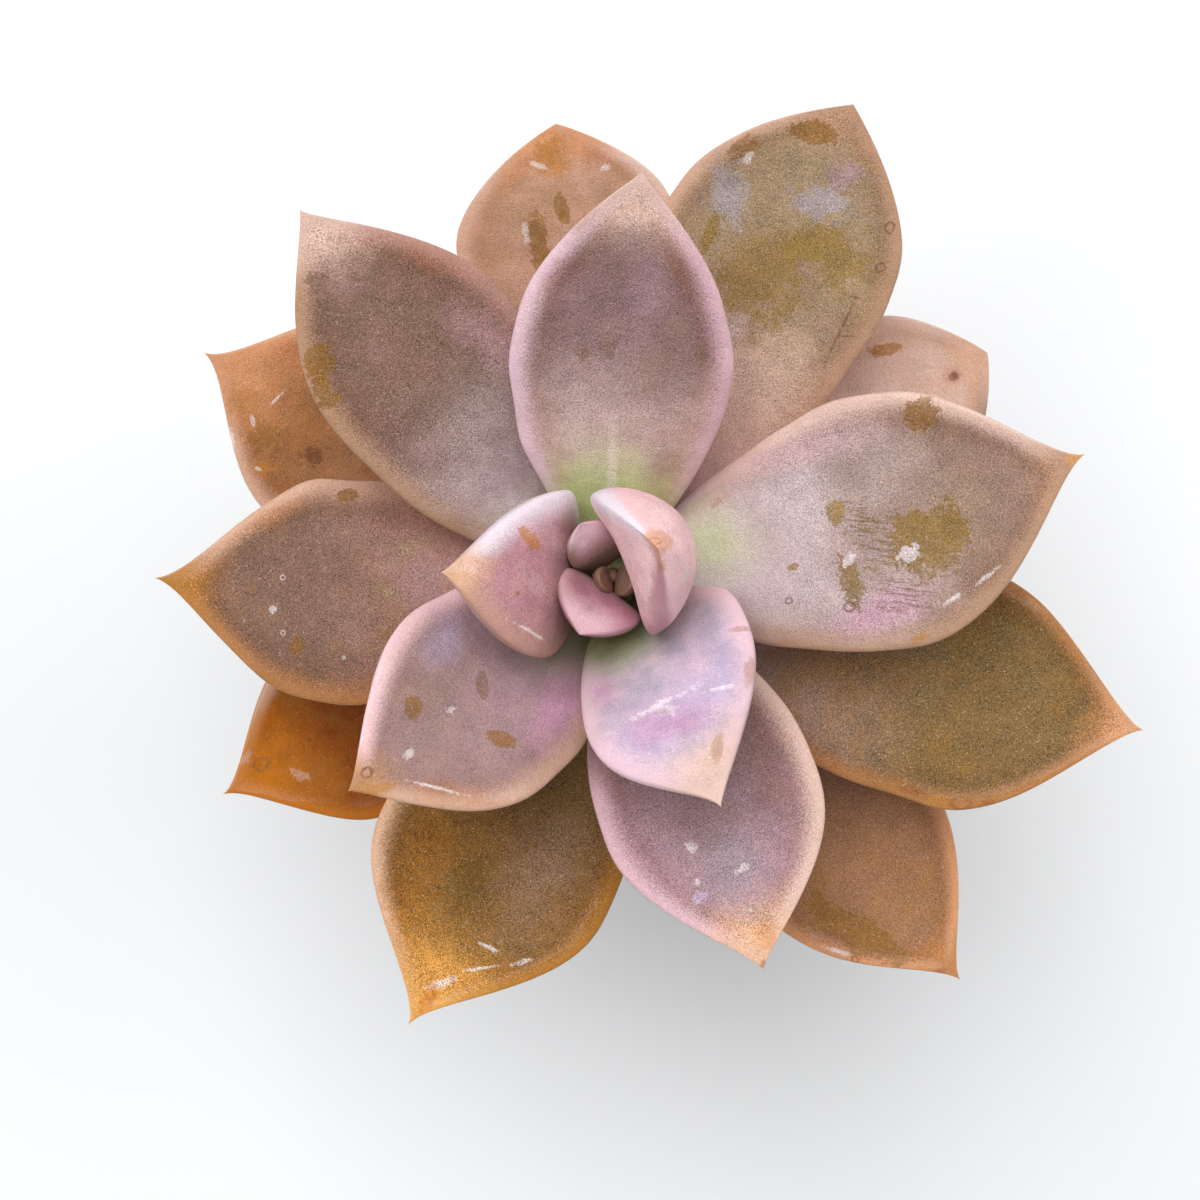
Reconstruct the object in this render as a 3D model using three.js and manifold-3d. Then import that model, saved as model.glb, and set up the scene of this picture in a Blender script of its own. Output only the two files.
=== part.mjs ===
import * as THREE from 'three';
import { mergeVertices } from 'three/addons/utils/BufferGeometryUtils.js';
import Module from 'manifold-3d';

// A ghost plant in a round nursery pot: a rosette of fleshy leaves set in one spiral on a short stem.
// Millimetres, +Z up, origin at the centre of the pot's foot, where it stands.

// Pot
const POT_HEIGHT = 72;
const POT_RIM_RADIUS = 40;
const POT_FOOT_RADIUS = 28;
const POT_WALL = 1.4;
const POT_FLOOR = 2;
const RIM_BAND_HEIGHT = 9;
const RIM_BAND_STEP = 1.6;
const LIP_ROUND = 0.7;
const FOOT_BEVEL = 1;
const DRAIN_HOLES = 6;
const DRAIN_RADIUS = 3.5;
const DRAIN_CIRCLE_RADIUS = 19;
const DRAIN_SIDES = 16;
const POT_SIDES = 60;

// Soil
const SOIL_BELOW_LIP = 9;
const SOIL_TOP = POT_HEIGHT - SOIL_BELOW_LIP;
const SOIL_RELIEF = 0.9;
const SOIL_LUMPS_X = { pitch: 0.55, sway: 1.7, swayPitch: 0.31 };
const SOIL_LUMPS_Y = { pitch: 0.49, sway: 1.3, swayPitch: 0.37 };
const SOIL_RINGS = 8;

// Gap left between pieces that touch
const CLEARANCE = 0.3;

// Stem, and the small core that the youngest leaves grow from
const ROSETTE_TOP = 99;
const STEM_RADIUS = 5;
const STEM_TOP_RADIUS = 2.6;
const STEM_TOP = ROSETTE_TOP + 3.5;
const STEM_TAPER_START = ROSETTE_TOP - 8;
const STEM_BOTTOM = SOIL_TOP - 26;
const STEM_END_RADIUS = 2.5;
const STEM_END_TAPER = 8;
const STEM_SIDES = 20;
const BUD_CORE_RADIUS = 1.3;
const BUD_CORE_HEIGHT = 4;

// Leaves: the sizes that most of them share
const INTERNODE = 1.5;
const LEAF_THICKNESS = 5.5;
const LEAF_SINK = 1.5;
const LEAF_BASE_HALF_WIDTH = 4.2;
const LEAF_BROADEST = 0.6;
const LEAF_TAPER = 1.4;
const LEAF_CURL = 8;
const LEAF_CUP = 0.12;

// Leaves: how a section and its change along the leaf are shaped
const UPPER_SHARE = 0.32;
const UPPER_FLATNESS = 0.8;
const MARGIN_ROUNDNESS = 0.9;
const POINT_EASE = 2.3;
const BASE_THICKNESS_SHARE = 0.62;
const THICKEST_PULL = 0.9;
const THIN_FROM = 0.55;
const THIN_BY = 0.75;
const THIN_EASE = 2.2;
const POINT_CLOSING = 14;
const CURL_FROM = 0.6;
const CUP_FULL_AT = 0.5;

// Leaves: mesh
const LEAF_RINGS = 14;
const LEAF_SIDES = 16;
const RING_CROWDING = 1.25;
const MIDRIB_STEPS = 60;

const DEGREE = Math.PI / 180;

const wasm = await Module();
wasm.setup();

// A closed mesh as a solid that can be joined and cut, and the way back.
function toSolid(geometry) {
  const plain = geometry.clone();
  plain.deleteAttribute('normal');
  plain.deleteAttribute('uv');
  const merged = mergeVertices(plain, 1e-4);
  return new wasm.Manifold(new wasm.Mesh({
    numProp: 3,
    vertProperties: new Float32Array(merged.attributes.position.array),
    triVerts: new Uint32Array(merged.index.array),
  }));
}

function toGeometry(solid) {
  const mesh = solid.getMesh();
  const geometry = new THREE.BufferGeometry();
  geometry.setAttribute('position', new THREE.BufferAttribute(mesh.vertProperties, 3));
  geometry.setIndex(new THREE.BufferAttribute(mesh.triVerts, 1));
  geometry.computeVertexNormals();
  return geometry;
}

// A solid of revolution about +Z from [radius, height] points that run from the axis to the axis, going up.
function turned(points, sides) {
  const profile = points.map(([radius, height]) => new THREE.Vector2(radius, height));
  const geometry = new THREE.LatheGeometry(profile, sides);
  geometry.rotateX(Math.PI / 2);
  return geometry;
}

const smooth = (x) => {
  const t = Math.min(Math.max(x, 0), 1);
  return t * t * (3 - 2 * t);
};

// Half the leaf's width at the share s of its length: it swells from the base to the broadest place,
// then draws in to the point.
function halfWidthAt(leaf, s) {
  if (s < leaf.broadest) {
    const swell = Math.sin((s / leaf.broadest) * (Math.PI / 2)) ** leaf.swell;
    return leaf.baseHalfWidth + (leaf.halfWidth - leaf.baseHalfWidth) * swell;
  }
  const past = (s - leaf.broadest) / (1 - leaf.broadest);
  return leaf.halfWidth * Math.max(1 - past ** POINT_EASE, 0) ** leaf.taper;
}

// The leaf's thickness at s: full in the middle, less at the base, thin towards the point.
function thicknessAt(leaf, s) {
  const swell = Math.sin(Math.PI * Math.min(s / THICKEST_PULL, 1) ** THICKEST_PULL);
  const body = BASE_THICKNESS_SHARE + (1 - BASE_THICKNESS_SHARE) * swell;
  const past = Math.max(s - THIN_FROM, 0) / (1 - THIN_FROM);
  const closing = Math.sqrt(Math.max(1 - s ** POINT_CLOSING, 0));
  return leaf.thickness * body * (1 - THIN_BY * past ** THIN_EASE) * closing;
}

// The leaf's own directions at s: along it, across it and out of its upper face.
function directionsAt(leaf, s) {
  const curl = LEAF_CURL * smooth((s - CURL_FROM) / (1 - CURL_FROM));
  const rise = (leaf.rise[0] + (leaf.rise[1] - leaf.rise[0]) * s + curl) * DEGREE;
  const turn = (leaf.azimuth + leaf.bow * (s - 0.5)) * DEGREE;
  const level = Math.cos(rise);
  const along = new THREE.Vector3(level * Math.cos(turn), level * Math.sin(turn), Math.sin(rise));
  const across = new THREE.Vector3(-Math.sin(turn), Math.cos(turn), 0);
  const up = along.clone().cross(across);
  return { along, across, up };
}

// The midrib's points, one for each of the given shares of the length.
function midribPoints(leaf, shares) {
  const start = (leaf.azimuth + leaf.seat) * DEGREE;
  const point = new THREE.Vector3(leaf.start * Math.cos(start), leaf.start * Math.sin(start), leaf.height);
  const fine = [point.clone()];
  for (let i = 0; i < MIDRIB_STEPS; i += 1) {
    const { along } = directionsAt(leaf, (i + 0.5) / MIDRIB_STEPS);
    point.addScaledVector(along, leaf.length / MIDRIB_STEPS);
    fine.push(point.clone());
  }
  return shares.map((s) => {
    const i = Math.min(Math.floor(s * MIDRIB_STEPS), MIDRIB_STEPS - 1);
    return fine[i].clone().lerp(fine[i + 1], s * MIDRIB_STEPS - i);
  });
}

// One leaf's closed skin: rings round the midrib, flatter above than below, with the margins raised.
function leafGeometry(leaf) {
  const shares = Array.from({ length: LEAF_RINGS }, (_, i) => 1 - (1 - i / LEAF_RINGS) ** RING_CROWDING);
  const points = midribPoints(leaf, [...shares, 1]);
  const positions = [];
  shares.forEach((s, i) => {
    const { along, across, up } = directionsAt(leaf, s);
    const width = halfWidthAt(leaf, s);
    const thickness = thicknessAt(leaf, s);
    for (let j = 0; j < LEAF_SIDES; j += 1) {
      const angle = (j / LEAF_SIDES) * 2 * Math.PI;
      const side = Math.sign(Math.cos(angle)) * Math.abs(Math.cos(angle)) ** MARGIN_ROUNDNESS;
      const bulge = Math.sin(angle) >= 0
        ? UPPER_SHARE * thickness * Math.sin(angle) ** UPPER_FLATNESS
        : (1 - UPPER_SHARE) * thickness * Math.sin(angle);
      const raised = leaf.cup * smooth(s / CUP_FULL_AT) * width * side * side;
      const shift = -leaf.skew * smooth(s / CUP_FULL_AT) * width * side;
      const vertex = points[i].clone()
        .addScaledVector(across, width * side)
        .addScaledVector(up, bulge + raised)
        .addScaledVector(along, shift);
      positions.push(...vertex.toArray());
    }
  });
  const base = positions.length / 3;
  positions.push(...points[0].toArray(), ...points[LEAF_RINGS].toArray());
  const index = [];
  for (let j = 0; j < LEAF_SIDES; j += 1) {
    const next = (j + 1) % LEAF_SIDES;
    index.push(base, next, j);
    for (let i = 0; i < LEAF_RINGS - 1; i += 1) {
      const low = i * LEAF_SIDES;
      const high = low + LEAF_SIDES;
      index.push(low + j, low + next, high + next, low + j, high + next, high + j);
    }
    const last = (LEAF_RINGS - 1) * LEAF_SIDES;
    index.push(last + j, last + next, base + 1);
  }
  const geometry = new THREE.BufferGeometry();
  geometry.setAttribute('position', new THREE.Float32BufferAttribute(positions, 3));
  geometry.setIndex(index);
  return geometry;
}

// A leaf at its place on the spiral, counted outwards from the innermost full leaf, which is place 0.
function leaf(place, azimuth, length, rise, halfWidth, shape = {}) {
  return {
    place,
    azimuth,
    length,
    rise,
    halfWidth,
    height: ROSETTE_TOP - INTERNODE * place,
    start: STEM_RADIUS - LEAF_SINK,
    seat: 0,
    baseHalfWidth: LEAF_BASE_HALF_WIDTH,
    thickness: LEAF_THICKNESS,
    broadest: LEAF_BROADEST,
    swell: 1,
    taper: LEAF_TAPER,
    bow: 0,
    cup: LEAF_CUP,
    skew: 0,
    ...shape,
  };
}

// Place, azimuth, length, rise above level at the base and towards the point, and half width of each leaf.
// broadest is where along the leaf it is widest, swell and taper how it widens and narrows, bow how far its
// midrib turns sideways, skew how far one margin runs ahead of the other, cup how high the margins stand,
// seat how far round the stem its base is from its own azimuth, and start how far from the axis it begins.
const LEAVES = [
  leaf(-2, 121, 11.5, [70, 50], 3.6, {
    start: 2, baseHalfWidth: 2.2, thickness: 2.8, broadest: 0.5, swell: 1.4, taper: 0.9,
  }),
  leaf(-1, 240, 13.5, [72, 50], 5.6, {
    start: 1.7, baseHalfWidth: 2.2, thickness: 3.2, broadest: 0.5, swell: 1.4, taper: 1.1, cup: 0.34,
  }),
  leaf(0, 26, 26.5, [63, 100], 9.2, {
    start: 2.9, seat: 14, baseHalfWidth: 3.4, thickness: 6.2,
    broadest: 0.52, taper: 1.1, cup: 0.52, skew: -0.1,
  }),
  leaf(1, 178.5, 26, [60, 36], 10.3, {
    baseHalfWidth: 3.4, thickness: 5, broadest: 0.36, taper: 1.5, cup: 0.3, skew: -0.2, bow: 8,
  }),
  leaf(2, 295.5, 35, [52, 26], 11.8, {
    baseHalfWidth: 3.4, broadest: 0.45, swell: 0.85, taper: 1.5, cup: 0.2, skew: 0.36, bow: -18,
  }),
  leaf(3, 86, 51.5, [37, 26], 13.3, { broadest: 0.52, swell: 1.1, taper: 1.1, bow: -8 }),
  leaf(4, 219, 44, [36, 28], 13.3, { broadest: 0.5, taper: 1.35, bow: -16 }),
  leaf(5, 14.5, 60, [29, 20], 15.6, { broadest: 0.58, swell: 1.1, taper: 1.6, bow: 14 }),
  leaf(6, 130.5, 59, [28, 17], 13.5, { broadest: 0.57, taper: 1.25, bow: -8 }),
  leaf(7, 291, 51.5, [26, 14], 14, { broadest: 0.57, bow: -14 }),
  leaf(8, 63, 64.5, [19, 17], 15.2, { baseHalfWidth: 3.4, broadest: 0.66, taper: 1 }),
  leaf(9, 180, 56, [20, 13], 14.2, { broadest: 0.57, taper: 1.7, bow: -14 }),
  leaf(10, 344, 67.5, [18, 10], 15.3, { broadest: 0.62, taper: 1.5, bow: 10 }),
  leaf(11, 97, 56, [15, 10], 14.3, { broadest: 0.72, taper: 0.95 }),
  leaf(12, 245.5, 60.5, [13, 8], 16.1, { taper: 1.7, bow: -11 }),
  leaf(13, 31, 54, [10, 8], 12.7, { baseHalfWidth: 3.6, broadest: 0.7, taper: 0.9 }),
  leaf(14, 151, 58, [10, 8], 14.7, { broadest: 0.65, taper: 1.8 }),
  leaf(15, 311, 66.5, [9, 6], 13.8, { broadest: 0.65, taper: 1.5 }),
  leaf(16, 75, 48, [8, 6], 12, { broadest: 0.65 }),
  leaf(17, 209, 56, [7, 6], 13.6, { broadest: 0.62, taper: 1.7 }),
];

// Leaves just forming at the growing point.
const BUD_LEAVES = [
  leaf(-3, 345, 7, [78, 70], 2, {
    start: 0.8, baseHalfWidth: 1.4, thickness: 2.2, broadest: 0.5, taper: 0.8,
  }),
  leaf(-4, 200, 5, [80, 70], 1.7, {
    start: 0.5, baseHalfWidth: 1.2, thickness: 1.8, broadest: 0.5, taper: 0.8,
  }),
];

// The stem, or the same solid grown by the given gap.
function stemSolid(gap) {
  const bottom = STEM_BOTTOM - gap;
  const top = STEM_TOP + gap;
  return toSolid(turned([
    [0, bottom],
    [STEM_END_RADIUS + gap, bottom],
    [STEM_RADIUS + gap, bottom + STEM_END_TAPER],
    [STEM_RADIUS + gap, STEM_TAPER_START],
    [STEM_TOP_RADIUS + gap, top],
    [0, top],
  ], STEM_SIDES));
}

// The pot's outer radius below its rim band, at height z.
function potRadiusAt(z) {
  const radiusUnderLip = POT_RIM_RADIUS - RIM_BAND_STEP;
  return POT_FOOT_RADIUS + (radiusUnderLip - POT_FOOT_RADIUS) * (z / POT_HEIGHT);
}

// A tapered round pot with a stepped rim band, a flat foot and a ring of drain holes.
function potGeometry() {
  const bandBottom = POT_HEIGHT - RIM_BAND_HEIGHT;
  const profile = [
    [0, 0],
    [POT_FOOT_RADIUS - FOOT_BEVEL, 0],
    [potRadiusAt(FOOT_BEVEL), FOOT_BEVEL],
    [potRadiusAt(bandBottom), bandBottom],
    [POT_RIM_RADIUS - LIP_ROUND, bandBottom + LIP_ROUND],
    [POT_RIM_RADIUS, POT_HEIGHT - LIP_ROUND],
    [POT_RIM_RADIUS - LIP_ROUND, POT_HEIGHT],
    [POT_RIM_RADIUS - POT_WALL, POT_HEIGHT],
    [POT_RIM_RADIUS - POT_WALL - LIP_ROUND, POT_HEIGHT - LIP_ROUND],
    [potRadiusAt(bandBottom) - POT_WALL, bandBottom],
    [potRadiusAt(POT_FLOOR) - POT_WALL, POT_FLOOR],
    [0, POT_FLOOR],
  ];
  let solid = toSolid(turned(profile, POT_SIDES));
  for (let i = 0; i < DRAIN_HOLES; i += 1) {
    const angle = (i / DRAIN_HOLES) * 2 * Math.PI;
    const hole = new THREE.CylinderGeometry(DRAIN_RADIUS, DRAIN_RADIUS, 4 * POT_FLOOR, DRAIN_SIDES);
    hole.rotateX(Math.PI / 2);
    hole.translate(DRAIN_CIRCLE_RADIUS, 0, POT_FLOOR / 2);
    hole.rotateZ(angle);
    solid = solid.subtract(toSolid(hole));
  }
  return toGeometry(solid);
}

// The height of the soil's lumps at x, y, between -1 and 1: two crossed waves that each sway sideways.
function soilLump(x, y) {
  const acrossX = SOIL_LUMPS_X.pitch * x + SOIL_LUMPS_X.sway * Math.sin(SOIL_LUMPS_X.swayPitch * y);
  const acrossY = SOIL_LUMPS_Y.pitch * y + SOIL_LUMPS_Y.sway * Math.sin(SOIL_LUMPS_Y.swayPitch * x);
  return Math.sin(acrossX) * Math.cos(acrossY);
}

// The soil fills the pot a little clear of its wall, with a crumbly top and a plain hole for the stem.
function soilGeometry() {
  const innerAt = (z) => potRadiusAt(z) - POT_WALL - CLEARANCE;
  const bottom = POT_FLOOR + CLEARANCE;
  const profile = [[0, bottom], [innerAt(bottom), bottom]];
  for (let i = 0; i <= SOIL_RINGS; i += 1) {
    profile.push([innerAt(SOIL_TOP) * (1 - i / SOIL_RINGS), SOIL_TOP]);
  }
  const geometry = turned(profile, POT_SIDES);
  const position = geometry.attributes.position;
  for (let i = 0; i < position.count; i += 1) {
    if (position.getZ(i) > SOIL_TOP - CLEARANCE) {
      position.setZ(i, SOIL_TOP + SOIL_RELIEF * soilLump(position.getX(i), position.getY(i)));
    }
  }
  return toGeometry(toSolid(geometry).subtract(stemSolid(CLEARANCE)));
}

const finish = (color, roughness) => new THREE.MeshStandardMaterial({ color, roughness, metalness: 0 });
const FINISHES = {
  pot: finish(0x1d1d1f, 0.55),
  soil: finish(0x3a2a1e, 0.95),
  stem: finish(0x8d7a5c, 0.8),
  bud: finish(0xb98d96, 0.6),
  inner: finish(0xd2aabd, 0.6),
  middle: finish(0xa98a86, 0.6),
  outer: finish(0xb78a58, 0.55),
};

function piece(name, geometry, material) {
  const mesh = new THREE.Mesh(geometry, material);
  mesh.name = name;
  return mesh;
}

function leafName(place) {
  return place < 0 ? `leaf_bud_${-place}` : `leaf_${String(place + 1).padStart(2, '0')}`;
}

function leafFinish(place) {
  if (place < 3) {
    return FINISHES.inner;
  }
  return place < 11 ? FINISHES.middle : FINISHES.outer;
}

const plant = new THREE.Group();
plant.add(piece('pot', potGeometry(), FINISHES.pot));
plant.add(piece('soil', soilGeometry(), FINISHES.soil));
plant.add(piece('stem', toGeometry(stemSolid(0)), FINISHES.stem));
const stemEnvelope = stemSolid(CLEARANCE);
for (const one of LEAVES) {
  const solid = toSolid(leafGeometry(one)).subtract(stemEnvelope);
  plant.add(piece(leafName(one.place), toGeometry(solid), leafFinish(one.place)));
}
const budCore = turned([
  [0, STEM_TOP],
  [BUD_CORE_RADIUS, STEM_TOP],
  [0, STEM_TOP + BUD_CORE_HEIGHT],
], STEM_SIDES);
const bud = BUD_LEAVES.map((one) => toSolid(leafGeometry(one)))
  .reduce((whole, one) => whole.add(one), toSolid(budCore))
  .subtract(stemEnvelope);
plant.add(piece('growing_tip', toGeometry(bud), FINISHES.bud));

export default plant;
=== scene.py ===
"""A potted ghost plant: a rosette of fleshy, powdery leaves on a short stem, in a black nursery pot.

Shapes are worked out in millimetres and put into meshes in metres. Each piece stands for the node of the
frame that it is named after, and the camera looks straight down on the rosette.
"""

import logging
from dataclasses import dataclass, field
from enum import Enum
from functools import partial
from math import pi, radians
from typing import Any, Callable, Iterable, Sequence

import bpy
import numpy as np
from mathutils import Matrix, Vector
from numpy import ndarray


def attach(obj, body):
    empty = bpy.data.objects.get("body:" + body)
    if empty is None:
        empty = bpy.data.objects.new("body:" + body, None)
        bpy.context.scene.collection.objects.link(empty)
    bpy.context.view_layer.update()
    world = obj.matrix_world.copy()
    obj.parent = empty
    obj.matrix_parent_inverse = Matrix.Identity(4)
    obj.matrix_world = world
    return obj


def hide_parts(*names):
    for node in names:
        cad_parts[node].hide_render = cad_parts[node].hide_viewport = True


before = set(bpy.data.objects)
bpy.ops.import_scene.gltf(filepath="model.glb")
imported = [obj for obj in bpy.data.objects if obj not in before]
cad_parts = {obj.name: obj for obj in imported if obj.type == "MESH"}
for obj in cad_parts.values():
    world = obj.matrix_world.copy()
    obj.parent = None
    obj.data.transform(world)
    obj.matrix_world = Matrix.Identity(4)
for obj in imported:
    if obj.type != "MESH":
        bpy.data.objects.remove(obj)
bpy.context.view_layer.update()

MM = 0.001
BODY = "root"
GOLDEN_TURN = 137.508
CLOUD_SCALE = 85.0
FLECK_SCALE = 330.0
GRAIN_SCALE = 5600.0
GRAIN_CONTRAST = 2.2
POINT_COVER = 1.3
BAY_SCALE = 300.0
CRUMB_SCALE = 1500.0
SPECK_SCALE = 1500.0
SCUFF_SCALE = 900.0
SKIN_RELIEF = 0.0002
log = logging.getLogger("ghost_plant")
Socket = bpy.types.NodeSocket


def smooth(value: ndarray, low: float = 0.0, high: float = 1.0) -> ndarray:
    """Return 3x^2 - 2x^3 of the value's place between low and high, held to 0 and 1 outside them."""
    x = np.clip((value - low) / (high - low), 0, 1)
    return x * x * (3 - 2 * x)


def waves(points: ndarray, size: float, seed: int, count: int = 14) -> ndarray:
    """A smooth random field: the mean of sine waves that run in seeded directions.

    Args:
        points: places, as an array whose last axis is x, y, z.
        size: the typical distance from crest to crest, in the points' unit.
        seed: picks the directions, lengths and phases.
        count: how many waves are summed.

    Returns:
        The field at each place, about -1 to 1.
    """
    rng = np.random.default_rng(seed)
    way = rng.normal(size=(count, 3))
    way *= (2 * pi / size / np.linalg.norm(way, axis=1) * rng.uniform(0.6, 1.6, count))[:, None]
    phase = rng.uniform(0, 2 * pi, count)
    return np.sin(points @ way.T + phase).sum(-1) * 1.5 / count ** 0.5 / 1.2


class Pigment(Enum):
    """The colours of the plant and its pot, as red, green and blue on a screen (0 to 255)."""

    LEAF_GREEN = (200, 214, 146)
    MOSS = (122, 126, 70)
    FERN = (146, 168, 92)
    SAGE = (146, 148, 116)
    CREAM = (230, 220, 206)
    PEARL = (244, 230, 240)
    LILAC = (204, 184, 212)
    LILAC_GREY = (174, 162, 170)
    ORCHID = (214, 152, 188)
    SHELL_PINK = (240, 204, 214)
    BLUSH = (252, 208, 210)
    ROSE = (226, 184, 192)
    PINK_TAUPE = (204, 176, 170)
    PEARL_GREY = (206, 186, 186)
    DUSTY_ROSE = (202, 160, 164)
    OLD_ROSE = (192, 138, 148)
    RASPBERRY = (170, 114, 128)
    MAUVE = (174, 140, 148)
    ASH_MAUVE = (164, 132, 130)
    DUSK = (146, 114, 114)
    CLAY = (158, 128, 112)
    UMBER = (138, 106, 90)
    KHAKI = (168, 142, 110)
    OLIVE = (132, 104, 60)
    BRONZE = (144, 100, 40)
    OCHRE = (186, 124, 46)
    AMBER = (198, 116, 12)
    AMBER_BROWN = (168, 104, 22)
    MOSS_BROWN = (120, 90, 34)
    DARK_AMBER = (152, 76, 4)
    HONEY = (224, 160, 76)
    BISQUE = (232, 184, 148)
    APRICOT = (218, 154, 108)
    TAN = (188, 146, 116)
    CARAMEL = (186, 126, 72)
    CINNAMON = (164, 118, 84)
    TOFFEE = (164, 110, 64)
    SAND = (194, 168, 126)
    PINK_TAN = (194, 148, 134)
    PEACH = (216, 172, 146)
    PALE_PEACH = (230, 194, 178)
    RUST = (160, 92, 48)
    BROWN = (112, 66, 36)
    STRAW = (152, 120, 50)
    MUSTARD = (138, 106, 38)
    BONE = (236, 224, 220)
    BARK = (128, 104, 76)
    STEM_GREEN = (150, 158, 104)
    COAL = (26, 27, 29)
    DUST = (118, 106, 92)
    PEAT = (54, 38, 27)
    PEAT_LIGHT = (98, 74, 54)
    PERLITE = (232, 229, 222)
    GRIT = (158, 140, 118)
    FLOOR = (250, 251, 252)

    @property
    def linear(self) -> tuple[float, float, float, float]:
        """Return the colour as the linear light that a shader takes."""
        shares = np.array(self.value) / 255
        light = np.where(shares <= 0.04045, shares / 12.92, ((shares + 0.055) / 1.055) ** 2.4)
        return (*(float(x) for x in light), 1.0)


class Graph:
    """Adds nodes to one node tree, links them and hands back their sockets."""

    def __init__(self, tree: bpy.types.NodeTree) -> None:
        """Take the tree that the nodes go into."""
        self.tree = tree

    def add(self, kind: str, inputs: dict[Any, Any] | None = None, **settings: Any) -> bpy.types.Node:
        """Add one node.

        Args:
            kind: the node's type, as Blender names it without its first part.
            inputs: each input's name or number, with the socket or the value that feeds it.
            settings: the node's own settings.

        Returns:
            The new node.
        """
        node = self.tree.nodes.new(kind)
        for name, value in settings.items():
            setattr(node, name, value)
        for name, value in (inputs or {}).items():
            if isinstance(value, Socket):
                self.tree.links.new(value, node.inputs[name])
            else:
                node.inputs[name].default_value = value.linear if isinstance(value, Pigment) else value
        return node

    def math(self, operation: str, a: Any, b: Any = 0.0, c: Any = 0.0, clamp: bool = False) -> Socket:
        """Return the result of one Math node."""
        inputs = {0: a, 1: b, 2: c}
        return self.add("ShaderNodeMath", inputs, operation=operation, use_clamp=clamp).outputs[0]

    def ease(self, value: Any, low: Any, high: Any, start: Any = 0.0, end: Any = 1.0) -> Socket:
        """Return start to end as the value goes from low to high, with soft ends."""
        inputs = {0: value, 1: low, 2: high, 3: start, 4: end}
        return self.add("ShaderNodeMapRange", inputs, interpolation_type="SMOOTHSTEP").outputs[0]

    def mix(self, share: Any, a: Any, b: Any, blend: str = "MIX") -> Socket:
        """Return colour a with the given share of colour b mixed in."""
        node = self.add("ShaderNodeMix", {0: share, 6: a, 7: b}, data_type="RGBA", blend_type=blend)
        return node.outputs[2]

    def noise(self, place: Socket, scale: float, detail: float = 2.0, rough: float = 0.5) -> Socket:
        """Return a noise value round 0.5 at the place."""
        inputs = {"Vector": place, "Scale": scale, "Detail": detail, "Roughness": rough}
        return self.add("ShaderNodeTexNoise", inputs).outputs[0]

    def split(self, vector: Socket) -> tuple[Socket, Socket, Socket]:
        """Return a vector's three parts."""
        outputs = self.add("ShaderNodeSeparateXYZ", {0: vector}).outputs
        return outputs[0], outputs[1], outputs[2]

    def join(self, x: Any, y: Any, z: Any = 0.0) -> Socket:
        """Return a vector made of three values."""
        return self.add("ShaderNodeCombineXYZ", {0: x, 1: y, 2: z}).outputs[0]

    def vector(self, operation: str, a: Any, b: Any = (0.0, 0.0, 0.0)) -> Socket:
        """Return the vector result of one Vector Math node."""
        return self.add("ShaderNodeVectorMath", {0: a, 1: b}, operation=operation).outputs[0]

    def attribute(self, name: str) -> Socket:
        """Return a mesh attribute's vector."""
        return self.add("ShaderNodeAttribute", attribute_name=name).outputs["Vector"]

    def place(self) -> Socket:
        """Return the Object coordinates."""
        return self.add("ShaderNodeTexCoord").outputs["Object"]

    def bump(self, height: Socket, distance: float, strength: float = 1.0) -> Socket:
        """Return the normal that a height gives, with its depth in metres."""
        inputs = {"Height": height, "Distance": distance, "Strength": strength}
        return self.add("ShaderNodeBump", inputs).outputs[0]


Ports = dict[str, tuple[str, Any]]


def shader_group(name: str, inputs: Ports, outputs: dict[str, str], build: Callable) -> bpy.types.NodeTree:
    """Make a node group once, with named inputs and outputs.

    Args:
        name: the group's name.
        inputs: each input's socket kind (Float, Vector or Color) and first value.
        outputs: each output's socket kind.
        build: takes a Graph and the inputs' sockets by name, and returns the outputs' sockets by name.

    Returns:
        The group, new or as made before.
    """
    if name in bpy.data.node_groups:
        return bpy.data.node_groups[name]
    tree = bpy.data.node_groups.new(name, "ShaderNodeTree")
    for title, (kind, value) in inputs.items():
        socket = tree.interface.new_socket(name=title, in_out="INPUT", socket_type="NodeSocket" + kind)
        socket.default_value = value.linear if isinstance(value, Pigment) else value
    for title, kind in outputs.items():
        tree.interface.new_socket(name=title, in_out="OUTPUT", socket_type="NodeSocket" + kind)
    graph = Graph(tree)
    source = graph.add("NodeGroupInput")
    made = build(graph, {title: source.outputs[title] for title in inputs})
    graph.add("NodeGroupOutput", made)
    return tree


def grain_group() -> bpy.types.NodeTree:
    """Fine specks: two noises of one grain size, one for dark pits and one for bright points.

    Returns:
        The node group.
    """

    def build(graph: Graph, given: dict[str, Socket]) -> dict[str, Socket]:
        """Stretch the noise's contrast, and keep only its peaks for the points.

        Args:
            graph: adds the nodes.
            given: the group's inputs by name.

        Returns:
            The group's outputs by name.
        """
        place = graph.vector("ADD", graph.place(), graph.join(given["Seed"], given["Seed"], given["Seed"]))
        fine = graph.add("ShaderNodeTexNoise", {"Vector": place, "Scale": given["Scale"], "Detail": 1.0,
                                                "Roughness": 0.8}).outputs[0]
        coarse_scale = graph.math("MULTIPLY", given["Scale"], 0.61)
        other = graph.add("ShaderNodeTexNoise", {"Vector": place, "Scale": coarse_scale,
                                                 "Detail": 1.0}).outputs[0]
        value = graph.math("MULTIPLY_ADD", fine, 5.0, -2.5)
        points = graph.math("MULTIPLY", graph.ease(other, 0.6, 0.72), graph.ease(fine, 0.5, 0.6))
        return {"Value": value, "Points": points}

    inputs = {"Scale": ("Float", 2000.0), "Seed": ("Float", 0.0)}
    return shader_group("grain", inputs, {"Value": "Float", "Points": "Float"}, build)


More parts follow.
